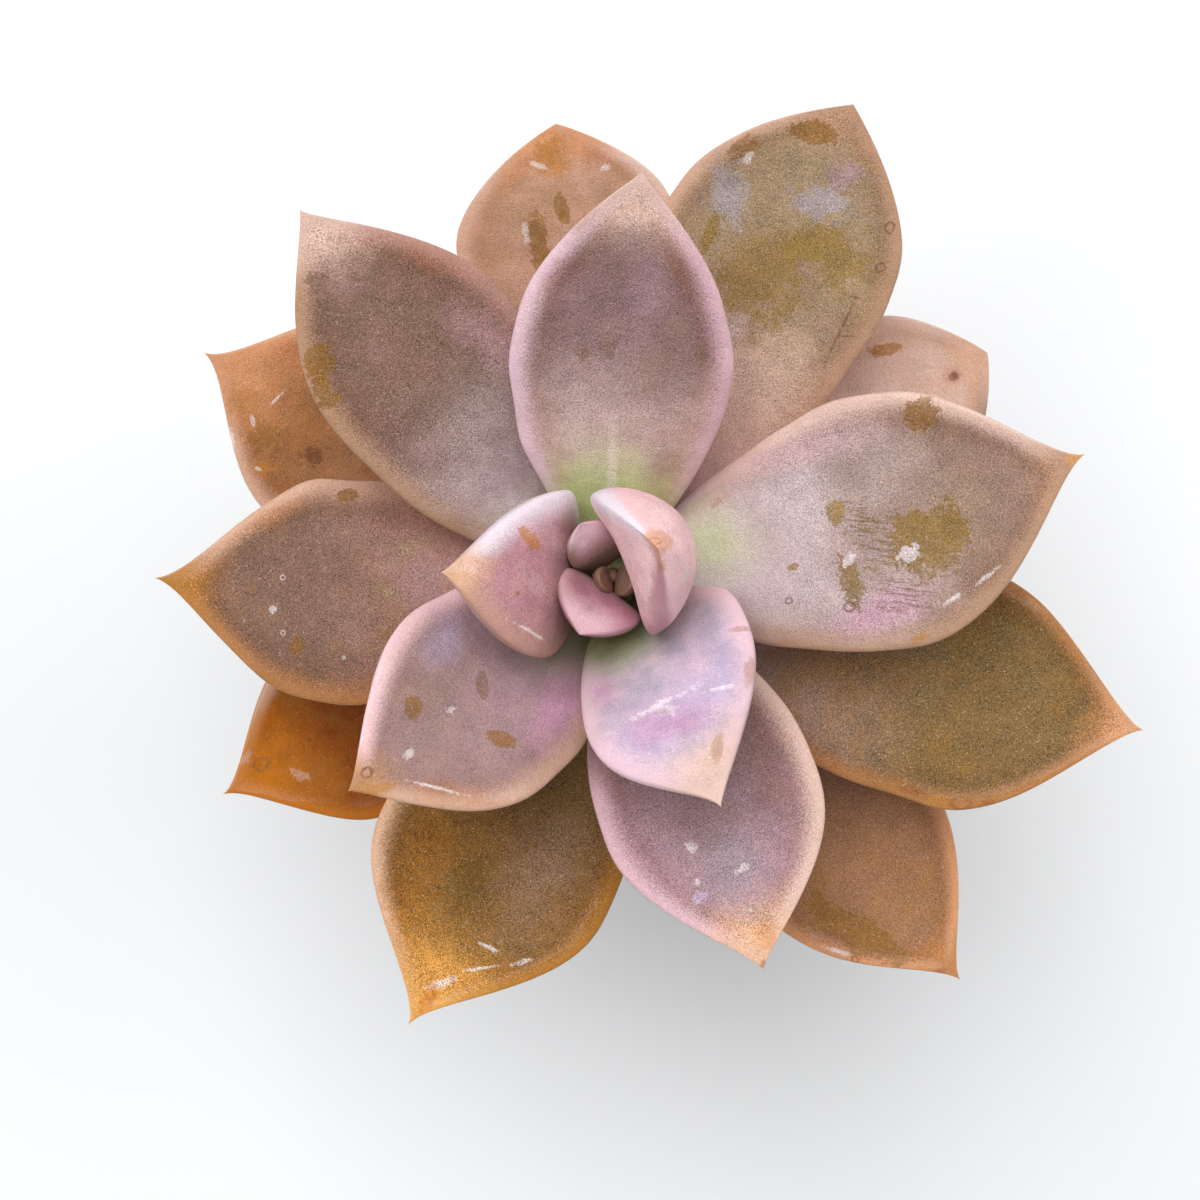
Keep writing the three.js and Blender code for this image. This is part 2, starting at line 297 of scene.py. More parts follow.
def tear_group() -> bpy.types.NodeTree:
    """The noise that tears the edges of marks: broad bays and fine crumbs, worked out once for a leaf.

    Returns:
        The node group.
    """

    def build(graph: Graph, given: dict[str, Socket]) -> dict[str, Socket]:
        """Stretch both noises to about -1 to 1.

        Args:
            graph: adds the nodes.
            given: the group's inputs by name.

        Returns:
            The group's outputs by name.
        """
        place = graph.vector("ADD", graph.place(), graph.join(given["Seed"], given["Seed"], given["Seed"]))
        bays = graph.noise(place, BAY_SCALE, 3.0, 0.62)
        crumbs = graph.noise(place, CRUMB_SCALE, 2.0, 0.7)
        return {"Bays": graph.math("MULTIPLY", graph.math("SUBTRACT", bays, 0.5), 4.2),
                "Crumbs": graph.math("MULTIPLY", graph.math("SUBTRACT", crumbs, 0.5), 4.2)}

    return shader_group("tear", {"Seed": ("Float", 0.0)}, {"Bays": "Float", "Crumbs": "Float"}, build)


def patch_group() -> bpy.types.NodeTree:
    """The mask of one mark on a blade: an ellipse in the blade's own millimetres, with a torn edge.

    Returns:
        The node group.
    """

    def build(graph: Graph, given: dict[str, Socket]) -> dict[str, Socket]:
        """Turn and scale the place into the ellipse, push its edge in and out, and fray it.

        Args:
            graph: adds the nodes.
            given: the group's inputs by name.

        Returns:
            The group's outputs by name.
        """
        place = graph.add("ShaderNodeMapping", {"Vector": given["Blade"], "Location": given["Middle"],
                                                "Rotation": given["Turn"], "Scale": given["Half Size"]},
                          vector_type="TEXTURE").outputs[0]
        reach = graph.add("ShaderNodeVectorMath", {0: place}, operation="LENGTH").outputs["Value"]
        reach = graph.math("MULTIPLY_ADD", given["Bays"], given["Tear"], reach)
        reach = graph.math("MULTIPLY_ADD", given["Crumbs"], given["Fray"], reach)
        uneven = graph.math("MULTIPLY_ADD", given["Crumbs"], 0.3, 0.85, clamp=True)
        mask = graph.math("MULTIPLY", graph.ease(reach, given["Core"], 1.0, 1.0, 0.0), uneven)
        return {"Mask": mask, "Reach": reach, "Place": place}

    inputs = {"Blade": ("Vector", (0, 0, 0)), "Middle": ("Vector", (0, 0, 0)), "Turn": ("Vector", (0, 0, 0)),
              "Half Size": ("Vector", (1, 1, 1)), "Bays": ("Float", 0.0), "Crumbs": ("Float", 0.0),
              "Tear": ("Float", 0.3), "Fray": ("Float", 0.2), "Core": ("Float", 0.7)}
    outputs = {"Mask": "Float", "Reach": "Float", "Place": "Vector"}
    return shader_group("patch", inputs, outputs, build)


def strokes_group() -> bpy.types.NodeTree:
    """Short strokes side by side, as something dragged over the skin leaves them.

    Returns:
        The node group.
    """

    def build(graph: Graph, given: dict[str, Socket]) -> dict[str, Socket]:
        """Keep the peaks of a noise that is squeezed across the strokes.

        Args:
            graph: adds the nodes.
            given: the group's inputs by name.

        Returns:
            The group's outputs by name.
        """
        squeezed = graph.vector("MULTIPLY", given["Place"], (0.7, 5.6, 0.0))
        return {"Strokes": graph.ease(graph.noise(squeezed, 1.6, 2.0), 0.46, 0.56)}

    return shader_group("strokes", {"Place": ("Vector", (0, 0, 0))}, {"Strokes": "Float"}, build)


def blade_group() -> bpy.types.NodeTree:
    """The skin of a leaf: four colours from base to tip (a dark base is painted shade), a pale bead on the
    margin that is partly a painted highlight of the rounded rim, a warm band of painted shade inside the
    bead, blotches and bloom.

    Returns:
        The node group.
    """

    def build(graph: Graph, given: dict[str, Socket]) -> dict[str, Socket]:
        """Lay the colours over each other in the order in which they show on a leaf.

        Args:
            graph: adds the nodes.
            given: the group's inputs by name.

        Returns:
            The group's outputs by name.
        """
        share, side, face = graph.split(given["Share"])
        _, across, inset = graph.split(given["Blade"])
        seed = graph.join(given["Seed"], given["Seed"], given["Seed"])
        place = graph.vector("ADD", graph.place(), seed)
        cloud = graph.math("SUBTRACT", graph.noise(place, CLOUD_SCALE, 3.0, 0.55), 0.5)
        fleck = graph.math("SUBTRACT", graph.noise(place, FLECK_SCALE, 3.0, 0.6), 0.5)
        along = graph.math("MULTIPLY_ADD", cloud, 0.22, share)
        reach = given["Base Reach"]
        # The base colour: on some leaves the real green at the foot; where it is a dark moss or olive it is
        # painted shade deep in the rosette.
        colour = graph.mix(graph.ease(along, graph.math("MULTIPLY", reach, 0.35), reach),
                           given["Base"], given["Lower"])
        change = given["Change"]
        colour = graph.mix(graph.ease(along, graph.math("SUBTRACT", change, 0.17),
                                      graph.math("ADD", change, 0.17)), colour, given["Upper"])
        tip_from = graph.math("SUBTRACT", 1.0, given["Tip Reach"])
        tip_by = graph.math("MULTIPLY_ADD", given["Tip Reach"], -0.25, 1.0)
        colour = graph.mix(graph.ease(graph.math("MULTIPLY_ADD", fleck, 0.06, share), tip_from, tip_by),
                           colour, given["Tip"])
        patchy = graph.math("ADD", cloud, graph.math("MULTIPLY", fleck, 0.5))
        amount = graph.math("MULTIPLY", graph.ease(patchy, -0.05, 0.22), given["Blotch"])
        colour = graph.mix(amount, colour, given["Stain"])
        bead = graph.math("MULTIPLY_ADD", fleck, 1.2, inset)
        width = given["Margin"]
        # Painted shade: a warm dark band just inside the margin's bead, where the skin dips below the bead.
        groove_shade = graph.math("MULTIPLY", graph.ease(bead, graph.math("MULTIPLY", width, 3.4), width),
                            graph.ease(bead, graph.math("MULTIPLY", width, 0.6), width))
        colour = graph.mix(graph.math("MULTIPLY", groove_shade, given["Groove"]), colour,
                           graph.mix(1.0, colour, (0.8, 0.66, 0.55, 1.0), "MULTIPLY"))
        # The margin colour: the leaf's own margin tint, laid pale so that it also stands for the bright
        # rounded rim, a painted highlight.
        margin = graph.mix(graph.ease(side, -0.2, 0.2), given["Right"], given["Left"])
        bead_tint_and_glow = graph.math("MULTIPLY", graph.ease(bead, graph.math("MULTIPLY", width, 1.9),
                                                    graph.math("MULTIPLY", width, 0.1)),
                             graph.ease(share, 0.08, 0.3))
        colour = graph.mix(graph.math("MULTIPLY", bead_tint_and_glow, 0.95), colour, margin)
        point = graph.math("MULTIPLY_ADD", given["Tip Reach"], -0.7, 1.0)
        colour = graph.mix(graph.ease(share, point, tip_by, 0.0, 0.85), colour, given["Tip"])
        under = graph.mix(graph.ease(along, 0.1, 0.9), given["Under"],
                          graph.mix(0.5, given["Under"], given["Upper"]))
        colour = graph.mix(graph.ease(face, -0.1, -0.45), colour, under)
        grain = graph.add("ShaderNodeGroup", {}, node_tree=grain_group())
        grain.inputs["Scale"].default_value = GRAIN_SCALE
        graph.tree.links.new(given["Seed"], grain.inputs["Seed"])
        where = graph.math("MULTIPLY", graph.ease(share, 0.12, 0.5, 0.35, 1.0),
                           graph.ease(inset, 0.2, 2.8, 0.35, 1.0))
        amount = graph.math("MULTIPLY", given["Grain"], where)
        contrast = graph.math("MULTIPLY", amount, GRAIN_CONTRAST)
        light = graph.math("MULTIPLY_ADD", grain.outputs["Value"], contrast, 1.0)
        light = graph.math("MULTIPLY_ADD", fleck, graph.math("MULTIPLY", where, 0.7), light)
        points = graph.math("MULTIPLY", grain.outputs["Points"], graph.math("MULTIPLY", amount, POINT_COVER))
        rough = graph.math("MULTIPLY_ADD", fleck, 0.25, graph.ease(inset, 0.0, 2.5, 0.4, 0.56))
        height = graph.math("ADD", graph.math("MULTIPLY", grain.outputs["Value"], 0.12),
                            graph.math("MULTIPLY", fleck, 1.4))
        return {"Color": colour, "Light": graph.join(light, light, light), "Points": points,
                "Roughness": rough, "Height": height}

    colours = {name: ("Color", Pigment.MAUVE)
               for name in ("Base", "Lower", "Upper", "Tip", "Left", "Right", "Under", "Stain")}
    inputs = {"Share": ("Vector", (0, 0, 0)), "Blade": ("Vector", (0, 0, 0)), **colours,
              "Base Reach": ("Float", 0.3), "Change": ("Float", 0.49), "Tip Reach": ("Float", 0.12),
              "Margin": ("Float", 1.6), "Groove": ("Float", 0.5), "Blotch": ("Float", 0.5),
              "Grain": ("Float", 0.16), "Seed": ("Float", 0.0)}
    outputs = {"Color": "Color", "Light": "Color", "Points": "Float", "Roughness": "Float",
               "Height": "Float"}
    return shader_group("blade_skin", inputs, outputs, build)


def wear_group() -> bpy.types.NodeTree:
    """Dust that lies in broad clouds with grains in them, and fine scuffs: for plastic, stem and soil.

    Returns:
        The node group.
    """

    def build(graph: Graph, given: dict[str, Socket]) -> dict[str, Socket]:
        """Mix clouds with specks for the dust, and take thin bands of a stretched noise as scuffs.

        Args:
            graph: adds the nodes.
            given: the group's inputs by name.

        Returns:
            The group's outputs by name.
        """
        place = graph.place()
        cloud = graph.noise(place, given["Cloud Scale"], 4.0, 0.6)
        speck = graph.noise(place, SPECK_SCALE, 2.0, 0.6)
        mixed = graph.math("MULTIPLY_ADD", graph.math("SUBTRACT", speck, 0.5), 0.7, cloud)
        dust = graph.math("MULTIPLY", graph.ease(mixed, 0.42, 0.72), given["Amount"], clamp=True)
        lines = graph.noise(graph.vector("MULTIPLY", place, (1.0, 1.0, 0.12)), SCUFF_SCALE, 2.0, 0.6)
        scuffs = graph.math("MULTIPLY", graph.ease(lines, 0.64, 0.68), graph.ease(cloud, 0.45, 0.6))
        return {"Dust": dust, "Scuffs": scuffs, "Specks": speck}

    inputs = {"Cloud Scale": ("Float", 60.0), "Amount": ("Float", 0.5)}
    return shader_group("wear", inputs, {"Dust": "Float", "Scuffs": "Float", "Specks": "Float"}, build)


def new_material(name: str) -> tuple[bpy.types.Material, Graph, bpy.types.Node]:
    """Return a new material with its graph and its Principled shader.

    Args:
        name: the material's name.

    Returns:
        The material, its graph and the shader's node.
    """
    material = bpy.data.materials.new(name)
    material.use_nodes = True
    graph = Graph(material.node_tree)
    return material, graph, material.node_tree.nodes["Principled BSDF"]


def wire(graph: Graph, shader: bpy.types.Node, **feeds: Any) -> None:
    """Feed or set the shader's inputs, named with underscores for spaces.

    Args:
        graph: adds the links.
        shader: the node whose inputs are fed.
        feeds: each input with the socket, colour or value that it gets.
    """
    for name, value in feeds.items():
        socket = shader.inputs[name.replace("_", " ")]
        if isinstance(value, Socket):
            graph.tree.links.new(value, socket)
        else:
            socket.default_value = value.linear if isinstance(value, Pigment) else value


class MarkKind(Enum):
    """What a mark on the skin is: damage and colour, painted shade, and painted glints."""

    RUBBED = "rubbed"
    STREAKED = "streaked"
    SPOT = "spot"
    RING = "ring"
    # small pale marks on the skin; a few are painted highlights
    SCAR_AND_GLINT = "scar_and_glint"
    # thin pale lines: real marks on the skin, and painted glints where wet skin shines
    SCRATCH_AND_GLINT = "scratch_and_glint"
    DARK_SCRATCH = "dark_scratch"
    FLUSH = "flush"
    WORN = "worn"
    GREEN = "green"
    # painted shade: a soft darkening where a leaf lies in the shadow of one above; given a warm colour it
    # also tints the skin
    SHADE = "shade"


@dataclass(frozen=True)
class MarkFinish:
    """How one kind of mark looks: its colour, its cover, and how torn, frayed and soft its edge is."""

    colour: Pigment
    cover: float
    tear: float = 0.25
    fray: float = 0.15
    edge: float = 0.25
    streaked: bool = False


MARK_FINISHES = {
    MarkKind.RUBBED: MarkFinish(Pigment.STRAW, 0.9, 0.34, 0.32, 0.14),
    MarkKind.STREAKED: MarkFinish(Pigment.OLIVE, 0.85, 0.4, 0.6, 0.6, True),
    MarkKind.SPOT: MarkFinish(Pigment.OCHRE, 0.75, 0.25, 0.25, 0.5),
    MarkKind.RING: MarkFinish(Pigment.BROWN, 0.9, 0.15, 0.15, 0.35),
    # small pale marks, a few of them painted highlights
    MarkKind.SCAR_AND_GLINT: MarkFinish(Pigment.BONE, 0.66, 0.6, 0.6, 0.35),
    # thin pale lines, partly painted glints of wet skin
    MarkKind.SCRATCH_AND_GLINT: MarkFinish(Pigment.BONE, 0.85, 0.1, 0.5, 0.7),
    MarkKind.DARK_SCRATCH: MarkFinish(Pigment.BROWN, 0.7, 0.1, 0.5, 0.7),
    MarkKind.FLUSH: MarkFinish(Pigment.ORCHID, 0.6, 0.2, 0.2, 0.98),
    MarkKind.WORN: MarkFinish(Pigment.KHAKI, 0.8, 0.5, 0.5, 0.55),
    MarkKind.GREEN: MarkFinish(Pigment.LEAF_GREEN, 0.75, 0.1, 0.05, 0.98),
    # painted shade, brown at low cover with a soft edge
    MarkKind.SHADE: MarkFinish(Pigment.BROWN, 0.4, 0.15, 0.35, 0.98),
}


@dataclass(frozen=True)
class Mark:
    """One mark on a blade: its kind, middle, half length, half width (millimetres) and turn (degrees).

    Places are measured along the midrib from the base, and across it towards the blade's left.
    """

    kind: MarkKind
    along: float
    across: float
    half_length: float
    half_width: float
    turn: float = 0.0
    colour: Pigment | None = None


@dataclass(frozen=True)
class BladeFinish:
    """The skin of one leaf, from base to tip and from margin to margin."""

    # a dark moss or olive base is painted shade at the leaf's foot
    base: Pigment
    lower: Pigment
    upper: Pigment
    tip: Pigment
    left: Pigment
    right: Pigment
    under: Pigment
    stain: Pigment
    base_reach: float = 0.3
    change: float = 0.49
    tip_reach: float = 0.16
    margin: float = 1.7
    # how strongly painted shade darkens the band just inside the bead
    groove_shade: float = 0.6
    blotch: float = 0.5
    grain: float = 0.2
    wet: float = 0.0
    marked_below: bool = False
    marks: tuple[Mark, ...] = ()

    def material(self, name: str, seed: float) -> bpy.types.Material:
        """Build the leaf's material.

        Args:
            name: the material's name.
            seed: moves the blotches and specks, so that no two leaves are alike.

        Returns:
            The material.
        """
        material, graph, shader = new_material(name)
        blade = graph.attribute("blade")
        skin = graph.add("ShaderNodeGroup", node_tree=blade_group())
        feeds = {"Share": graph.attribute("share"), "Blade": blade, "Base": self.base, "Lower": self.lower,
                 "Upper": self.upper, "Tip": self.tip, "Left": self.left, "Right": self.right,
                 "Under": self.under, "Stain": self.stain, "Base Reach": self.base_reach,
                 "Change": self.change, "Tip Reach": self.tip_reach, "Margin": self.margin,
                 "Groove": self.groove_shade, "Blotch": self.blotch, "Grain": self.grain, "Seed": seed}
        wire(graph, skin, **{key.replace(" ", "_"): value for key, value in feeds.items()})
        colour, rough, height = (skin.outputs[key] for key in ("Color", "Roughness", "Height"))
        _, _, face = graph.split(feeds["Share"])
        above = graph.ease(face, -1.4 if self.marked_below else -0.2, -1.2 if self.marked_below else 0.1)
        tear = graph.add("ShaderNodeGroup", node_tree=tear_group())
        wire(graph, tear, Seed=seed)
        for mark in self.marks:
            look = MARK_FINISHES[mark.kind]
            patch = graph.add("ShaderNodeGroup", node_tree=patch_group())
            wire(graph, patch, Blade=blade, Middle=(mark.along, mark.across, 0),
                 Turn=(0, 0, radians(mark.turn)), Half_Size=(mark.half_length, mark.half_width, 1e6),
                 Bays=tear.outputs["Bays"], Crumbs=tear.outputs["Crumbs"], Tear=look.tear,
                 Fray=look.fray, Core=1 - look.edge)
            mask = graph.math("MULTIPLY", patch.outputs["Mask"], above)
            if mark.kind is MarkKind.RING:
                mask = graph.math("MULTIPLY", mask, graph.ease(patch.outputs["Reach"], 0.35, 0.75))
            if look.streaked:
                strokes = graph.add("ShaderNodeGroup", node_tree=strokes_group())
                wire(graph, strokes, Place=patch.outputs["Place"])
                mask = graph.math("MULTIPLY", mask, strokes.outputs["Strokes"])
            colour = graph.mix(graph.math("MULTIPLY", mask, look.cover), colour, mark.colour or look.colour)
        colour = graph.mix(1.0, colour, skin.outputs["Light"], "MULTIPLY")
        colour = graph.mix(skin.outputs["Points"], colour, Pigment.BONE)
        wire(graph, shader, Base_Color=colour, Roughness=rough, Normal=graph.bump(height, SKIN_RELIEF),
             IOR=1.42, Specular_IOR_Level=0.3)
        if self.wet:
            near_margin = graph.ease(graph.split(blade)[2], 3.5, 0.5)
            wire(graph, shader, Coat_Weight=graph.math("MULTIPLY", near_margin, self.wet),
                 Coat_Roughness=0.08)
        return material


def to_mesh(name: str, points: ndarray, faces: Iterable[ndarray]) -> bpy.types.Object:
    """Put points and faces into a new smooth mesh object whose faces point outwards.

    Args:
        name: the object's name.
        points: places in millimetres, one row each.
        faces: arrays of corner numbers, one row a face, each array with its own number of corners.

    Returns:
        The object, at the origin, linked to the scene.
    """
    sets = [np.asarray(rows) for rows in faces]
    corners = [np.stack([rows[:, 0], rows[:, k], rows[:, k + 1]], 1)
               for rows in sets for k in range(1, rows.shape[1] - 1)]
    a, b, c = (points[np.concatenate(corners)[:, k]] for k in range(3))
    if np.einsum("ij,ij->", a, np.cross(b, c)) < 0:
        sets = [rows[:, ::-1] for rows in sets]
    mesh = bpy.data.meshes.new(name)
    mesh.from_pydata((points * MM).tolist(), [], [row for rows in sets for row in rows.tolist()])
    mesh.polygons.foreach_set("use_smooth", np.ones(len(mesh.polygons), bool))
    mesh.update()
    obj = bpy.data.objects.new(name, mesh)
    bpy.context.scene.collection.objects.link(obj)
    return obj


def grid_faces(rows: int, columns: int) -> ndarray:
    """Return the quads of a grid whose last column joins its first, counted row by row.

    Args:
        rows: how many rows of points.
        columns: how many points a row has.

    Returns:
        The four corner numbers of each quad, one row a quad.
    """
    i, j = np.meshgrid(np.arange(rows - 1), np.arange(columns), indexing="ij")
    k = (j + 1) % columns
    quads = np.stack([i * columns + j, i * columns + k, (i + 1) * columns + k, (i + 1) * columns + j], -1)
    return quads.reshape(-1, 4)


def capped_grid(rings: ndarray) -> tuple[ndarray, list[ndarray]]:
    """Close a stack of rings into a body, with a fan of triangles round the middle of each end ring.

    Args:
        rings: places, as an array of rings, points and x, y, z.

    Returns:
        The points (the rings' own, then the two middles) and the faces.
    """
    rows, columns = rings.shape[:2]
    points = np.concatenate([rings.reshape(-1, 3), rings[:1].mean(1), rings[-1:].mean(1)])
    around = np.arange(columns)
    after = (around + 1) % columns
    last = (rows - 1) * columns
    start = np.stack([after, around, np.full(columns, rows * columns)], 1)
    end = np.stack([last + around, last + after, np.full(columns, rows * columns + 1)], 1)
    return points, [grid_faces(rows, columns), start, end]


def add_vectors(obj: bpy.types.Object, name: str, values: ndarray) -> None:
    """Store one vector for each vertex in a mesh attribute."""
    layer = obj.data.attributes.new(name, "FLOAT_VECTOR", "POINT")
    layer.data.foreach_set("vector", np.ascontiguousarray(values, np.float32).ravel())


def settle(obj: bpy.types.Object, slot: str, material: bpy.types.Material, *nodes: str) -> bpy.types.Object:
    """Give a piece its material and body, and hide the frame's nodes that it stands for.

    Args:
        obj: the piece.
        slot: not used.
        material: the finish.
        nodes: the frame's nodes that the piece stands for.

    Returns:
        The piece.
    """
    obj.data.materials.append(material)
    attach(obj, BODY)
    if nodes:
        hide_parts(*nodes)
    return obj


@dataclass(frozen=True)
class Blade:
    """One leaf's shape, in millimetres and degrees.

    The midrib leaves the stem at a rise that changes evenly from base to tip, with a last curl up at the
    point. The outline swells as a sine to its broadest place and closes as a power curve to the point. The
    section is fuller below than above and has a soft bead round its margin.
    """

    place: float
    azimuth: float
    length: float
    rise: tuple[float, float]
    half_width: float
    start: float = 3.5
    seat: float = 0.0
    base: float = 4.2
    thick: float = 5.5
    broadest: float = 0.6
    swell: float = 1.0
    taper: float = 1.4
    bow: float = 0.0
    cup: float = 0.12
    skew: float = 0.0
    fill: float = 0.0
    plump: float = 0.0

    TOP = 99.0
    INTERNODE = 1.5
    CURL = 8.0
    UPPER_SHARE = 0.32
    BEAD_HEIGHT = 0.2
    BEAD_INSET = 2.0
    BEAD_WIDTH = 1.3
    DISH_DEPTH = 0.3
    KEEL_HEIGHT = 0.35
    KEEL_SHARE = 0.2
    SWAY_HEIGHT = 0.22
    SWAY_LENGTH = 19.0
    RIPPLE_HEIGHT = 0.06
    RIPPLE_LENGTH = 7.0
    UNEVEN_SHARE = 0.012
    UNEVEN_LENGTH = 13.0
    MARGINS_APART = 30
    RINGS = 112
    SIDES = 72
    STEPS = 240

    def directions(self, share: ndarray) -> tuple[ndarray, ndarray, ndarray]:
        """Return the unit vectors along, across and up from the midrib at shares of its length.

        Args:
            share: shares of the midrib's length.

        Returns:
            The three arrays of unit vectors.
        """
        rise = np.radians(self.rise[0] + (self.rise[1] - self.rise[0]) * share
                          + self.CURL * smooth(share, 0.6, 1.0))
        turn = np.radians(self.azimuth + self.bow * (share - 0.5))
        along = np.stack([np.cos(rise) * np.cos(turn), np.cos(rise) * np.sin(turn), np.sin(rise)], -1)
        across = np.stack([-np.sin(turn), np.cos(turn), np.zeros_like(turn)], -1)
        return along, across, np.cross(along, across)

    def midrib(self, share: ndarray) -> ndarray:
        """Return the places on the midrib: its start point plus the sum of its short steps.

        Args:
            share: shares of the midrib's length.

        Returns:
            One place for each share, in millimetres.
        """
        ends = np.linspace(0, 1, self.STEPS + 1)
        steps = self.directions((ends[1:] + ends[:-1]) / 2)[0] * self.length / self.STEPS
        line = np.concatenate([np.zeros((1, 3)), np.cumsum(steps, 0)])
        way = radians(self.azimuth + self.seat)
        start = [self.start * np.cos(way), self.start * np.sin(way), self.TOP - self.INTERNODE * self.place]
        return np.stack([np.interp(share, ends, line[:, k]) for k in range(3)], -1) + start

    def outline(self, share: ndarray) -> ndarray:
        """Return the half width: a sine's swelling, then a power curve's closing.

        Args:
            share: shares of the midrib's length.

        Returns:
            The half width at each share, in millimetres.
        """
        swelling = np.sin(np.clip(share / self.broadest, 0, 1) * pi / 2) ** self.swell
        past = np.clip((share - self.broadest) / (1 - self.broadest), 0, 1)
        closing = self.half_width * np.clip(1 - past ** 2.3, 0, 1) ** self.taper
        rising = self.base + (self.half_width - self.base) * swelling
        return np.where(share < self.broadest, rising, closing)

    def thickness(self, share: ndarray) -> ndarray:
        """Return the thickness: a sine over a floor, thinned towards the point and closed at it.

        Args:
            share: shares of the midrib's length.

        Returns:
            The thickness at each share, in millimetres.
        """
        body = 0.62 + 0.38 * np.sin(pi * np.clip(share / 0.9, 0, 1) ** 0.9)
        past = np.clip((share - 0.55) / 0.45, 0, 1)
        return self.thick * body * (1 - 0.75 * past ** 2.2) * np.sqrt(np.clip(1 - share ** 14, 0, 1))

    def section(self, share: ndarray, angle: ndarray) -> tuple[ndarray, ndarray]:
        """Work out the section's place at each share (column) and angle (row).

        Across it is a power of the cosine. Up it is a power of the sine, flatter above, with a dish in the
        middle and a bead inside the margin above, and a low keel under the outer half below.

        Args:
            share: shares of the length, as a column.
            angle: angles round the section, as a row, with 0 at the left margin and a quarter turn on top.

        Returns:
            The share of the half width across, and the height in millimetres over the midrib.
        """
        cos, sin = np.cos(angle), np.sin(angle)
        side = np.sign(cos) * np.abs(cos) ** (0.9 - 0.12 * self.plump)
        thick = self.thickness(share)
        width = self.outline(share)
        body = smooth(share, 0.1, 0.35) * (1 - smooth(share, 0.8, 1.0)) * np.clip(thick / 5, 0, 1)
        body = body * (1 - self.plump)
        inset = (1 - np.abs(side)) * width
        bead = self.BEAD_HEIGHT * np.exp(-((inset - self.BEAD_INSET) / self.BEAD_WIDTH) ** 2) * body
        dish = -self.DISH_DEPTH * (1 - side ** 2) * body
        above = (self.UPPER_SHARE * thick * np.abs(sin) ** (0.7 + 0.1 * self.plump) + dish
                 + bead * np.abs(sin) ** 0.5)
        filling = self.fill * self.cup * smooth(share, 0.0, 0.5) * width
        above = above + filling * (1 - np.abs(side) ** 2) * (1 - smooth(share, 0.85, 1.0))
        keel = self.KEEL_HEIGHT * np.exp(-(side / self.KEEL_SHARE) ** 2) * smooth(share, 0.4, 0.8)
        keel = keel * np.clip(thick / 3, 0, 1) * (1 - self.plump)
        below = -(1 - self.UPPER_SHARE) * thick * np.abs(sin) ** (1 - 0.22 * self.plump) - keel
        return side + 0 * share, np.where(sin >= 0, above, below)

    def build(self, name: str) -> bpy.types.Object:
        """Make the leaf's mesh, with its blade (mm) and share attributes.

        Args:
            name: the object's name.

        Returns:
            The mesh object. Its blade attribute holds the millimetres along, across and in from the margin,
            and its share attribute the share of the length, of the half width, and 1 above to -1 below.
        """
        share = 1 - (1 - np.linspace(0, 1, self.RINGS + 1)) ** 1.25
        angle = np.linspace(0, 2 * pi, self.SIDES, endpoint=False)
        column = share[:, None]
        side, height = self.section(column, angle[None])
        width = self.outline(column)
        along, across, up = self.directions(share)
        cup = smooth(column, 0.0, 0.5) * width
        height = height + self.cup * cup * side ** 2
        shift = -self.skew * cup * side
        seed = int(self.azimuth) + 7
        flat = np.stack([column * self.length + 0 * side, side * width, 0 * side], -1)
        sway = (waves(flat, self.SWAY_LENGTH, seed) * self.SWAY_HEIGHT
                + waves(flat, self.RIPPLE_LENGTH, seed + 1) * self.RIPPLE_HEIGHT)
        height = height + sway * smooth(column, 0.1, 0.4) * np.clip(self.thickness(column) / 4, 0, 1)
        margins = flat * [1, 0, 0] + [0, self.MARGINS_APART, 0] * np.sign(side)[..., None]
        uneven = 1 + self.UNEVEN_SHARE * waves(margins, self.UNEVEN_LENGTH, seed + 2)
        rings = (self.midrib(share)[:, None] + across[:, None] * (width * side * uneven)[..., None]
                 + up[:, None] * height[..., None] + along[:, None] * shift[..., None])
        points, faces = capped_grid(rings)
        obj = to_mesh(name, points, faces)
        inset = width * (1 - np.abs(side))
        blade = np.stack([column * self.length + shift, side * width, inset], -1).reshape(-1, 3)
        shares = np.stack([column + 0 * side, side, np.sin(angle)[None] + 0 * side], -1).reshape(-1, 3)
        add_vectors(obj, "blade", np.concatenate([blade, [[0, 0, 4], [self.length, 0, 0]]]))
        add_vectors(obj, "share", np.concatenate([shares, [[0, 0, 0], [1, 0, 0.5]]]))
        return obj


class LeafAge(Enum):
    """The ages of the leaves, each with a slot name for its skin."""

    BUD = "bud_skin"
    YOUNG = "young_leaf_skin"
    GROWN = "grown_leaf_skin"
    OLD = "old_leaf_skin"


@dataclass(frozen=True)
class Leaf:
    """A leaf with its age, shape and skin."""

    age: LeafAge
    blade: Blade
    finish: BladeFinish

    def build(self, name: str, node: str) -> bpy.types.Object:
        """Make the leaf, dress it and let it stand for its node.

        Args:
            name: the piece's name.
            node: the frame's node that it stands for.

        Returns:
            The piece.
        """
        piece = self.blade.build(name)
        skin = self.finish.material(name + "_skin", self.blade.azimuth * 0.37)
        return settle(piece, self.age.value, skin, node)


rubbed = partial(Mark, MarkKind.RUBBED)
streaked = partial(Mark, MarkKind.STREAKED)
spot = partial(Mark, MarkKind.SPOT)
ring = partial(Mark, MarkKind.RING)
# small pale marks; a few are painted highlights
scar_and_glint = partial(Mark, MarkKind.SCAR_AND_GLINT)
# thin pale lines: real marks, and painted glints of wet skin
scratch_and_glint = partial(Mark, MarkKind.SCRATCH_AND_GLINT)
dark_scratch = partial(Mark, MarkKind.DARK_SCRATCH)
flush = partial(Mark, MarkKind.FLUSH)
worn = partial(Mark, MarkKind.WORN)
green = partial(Mark, MarkKind.GREEN)
# painted shade marks
shade = partial(Mark, MarkKind.SHADE)

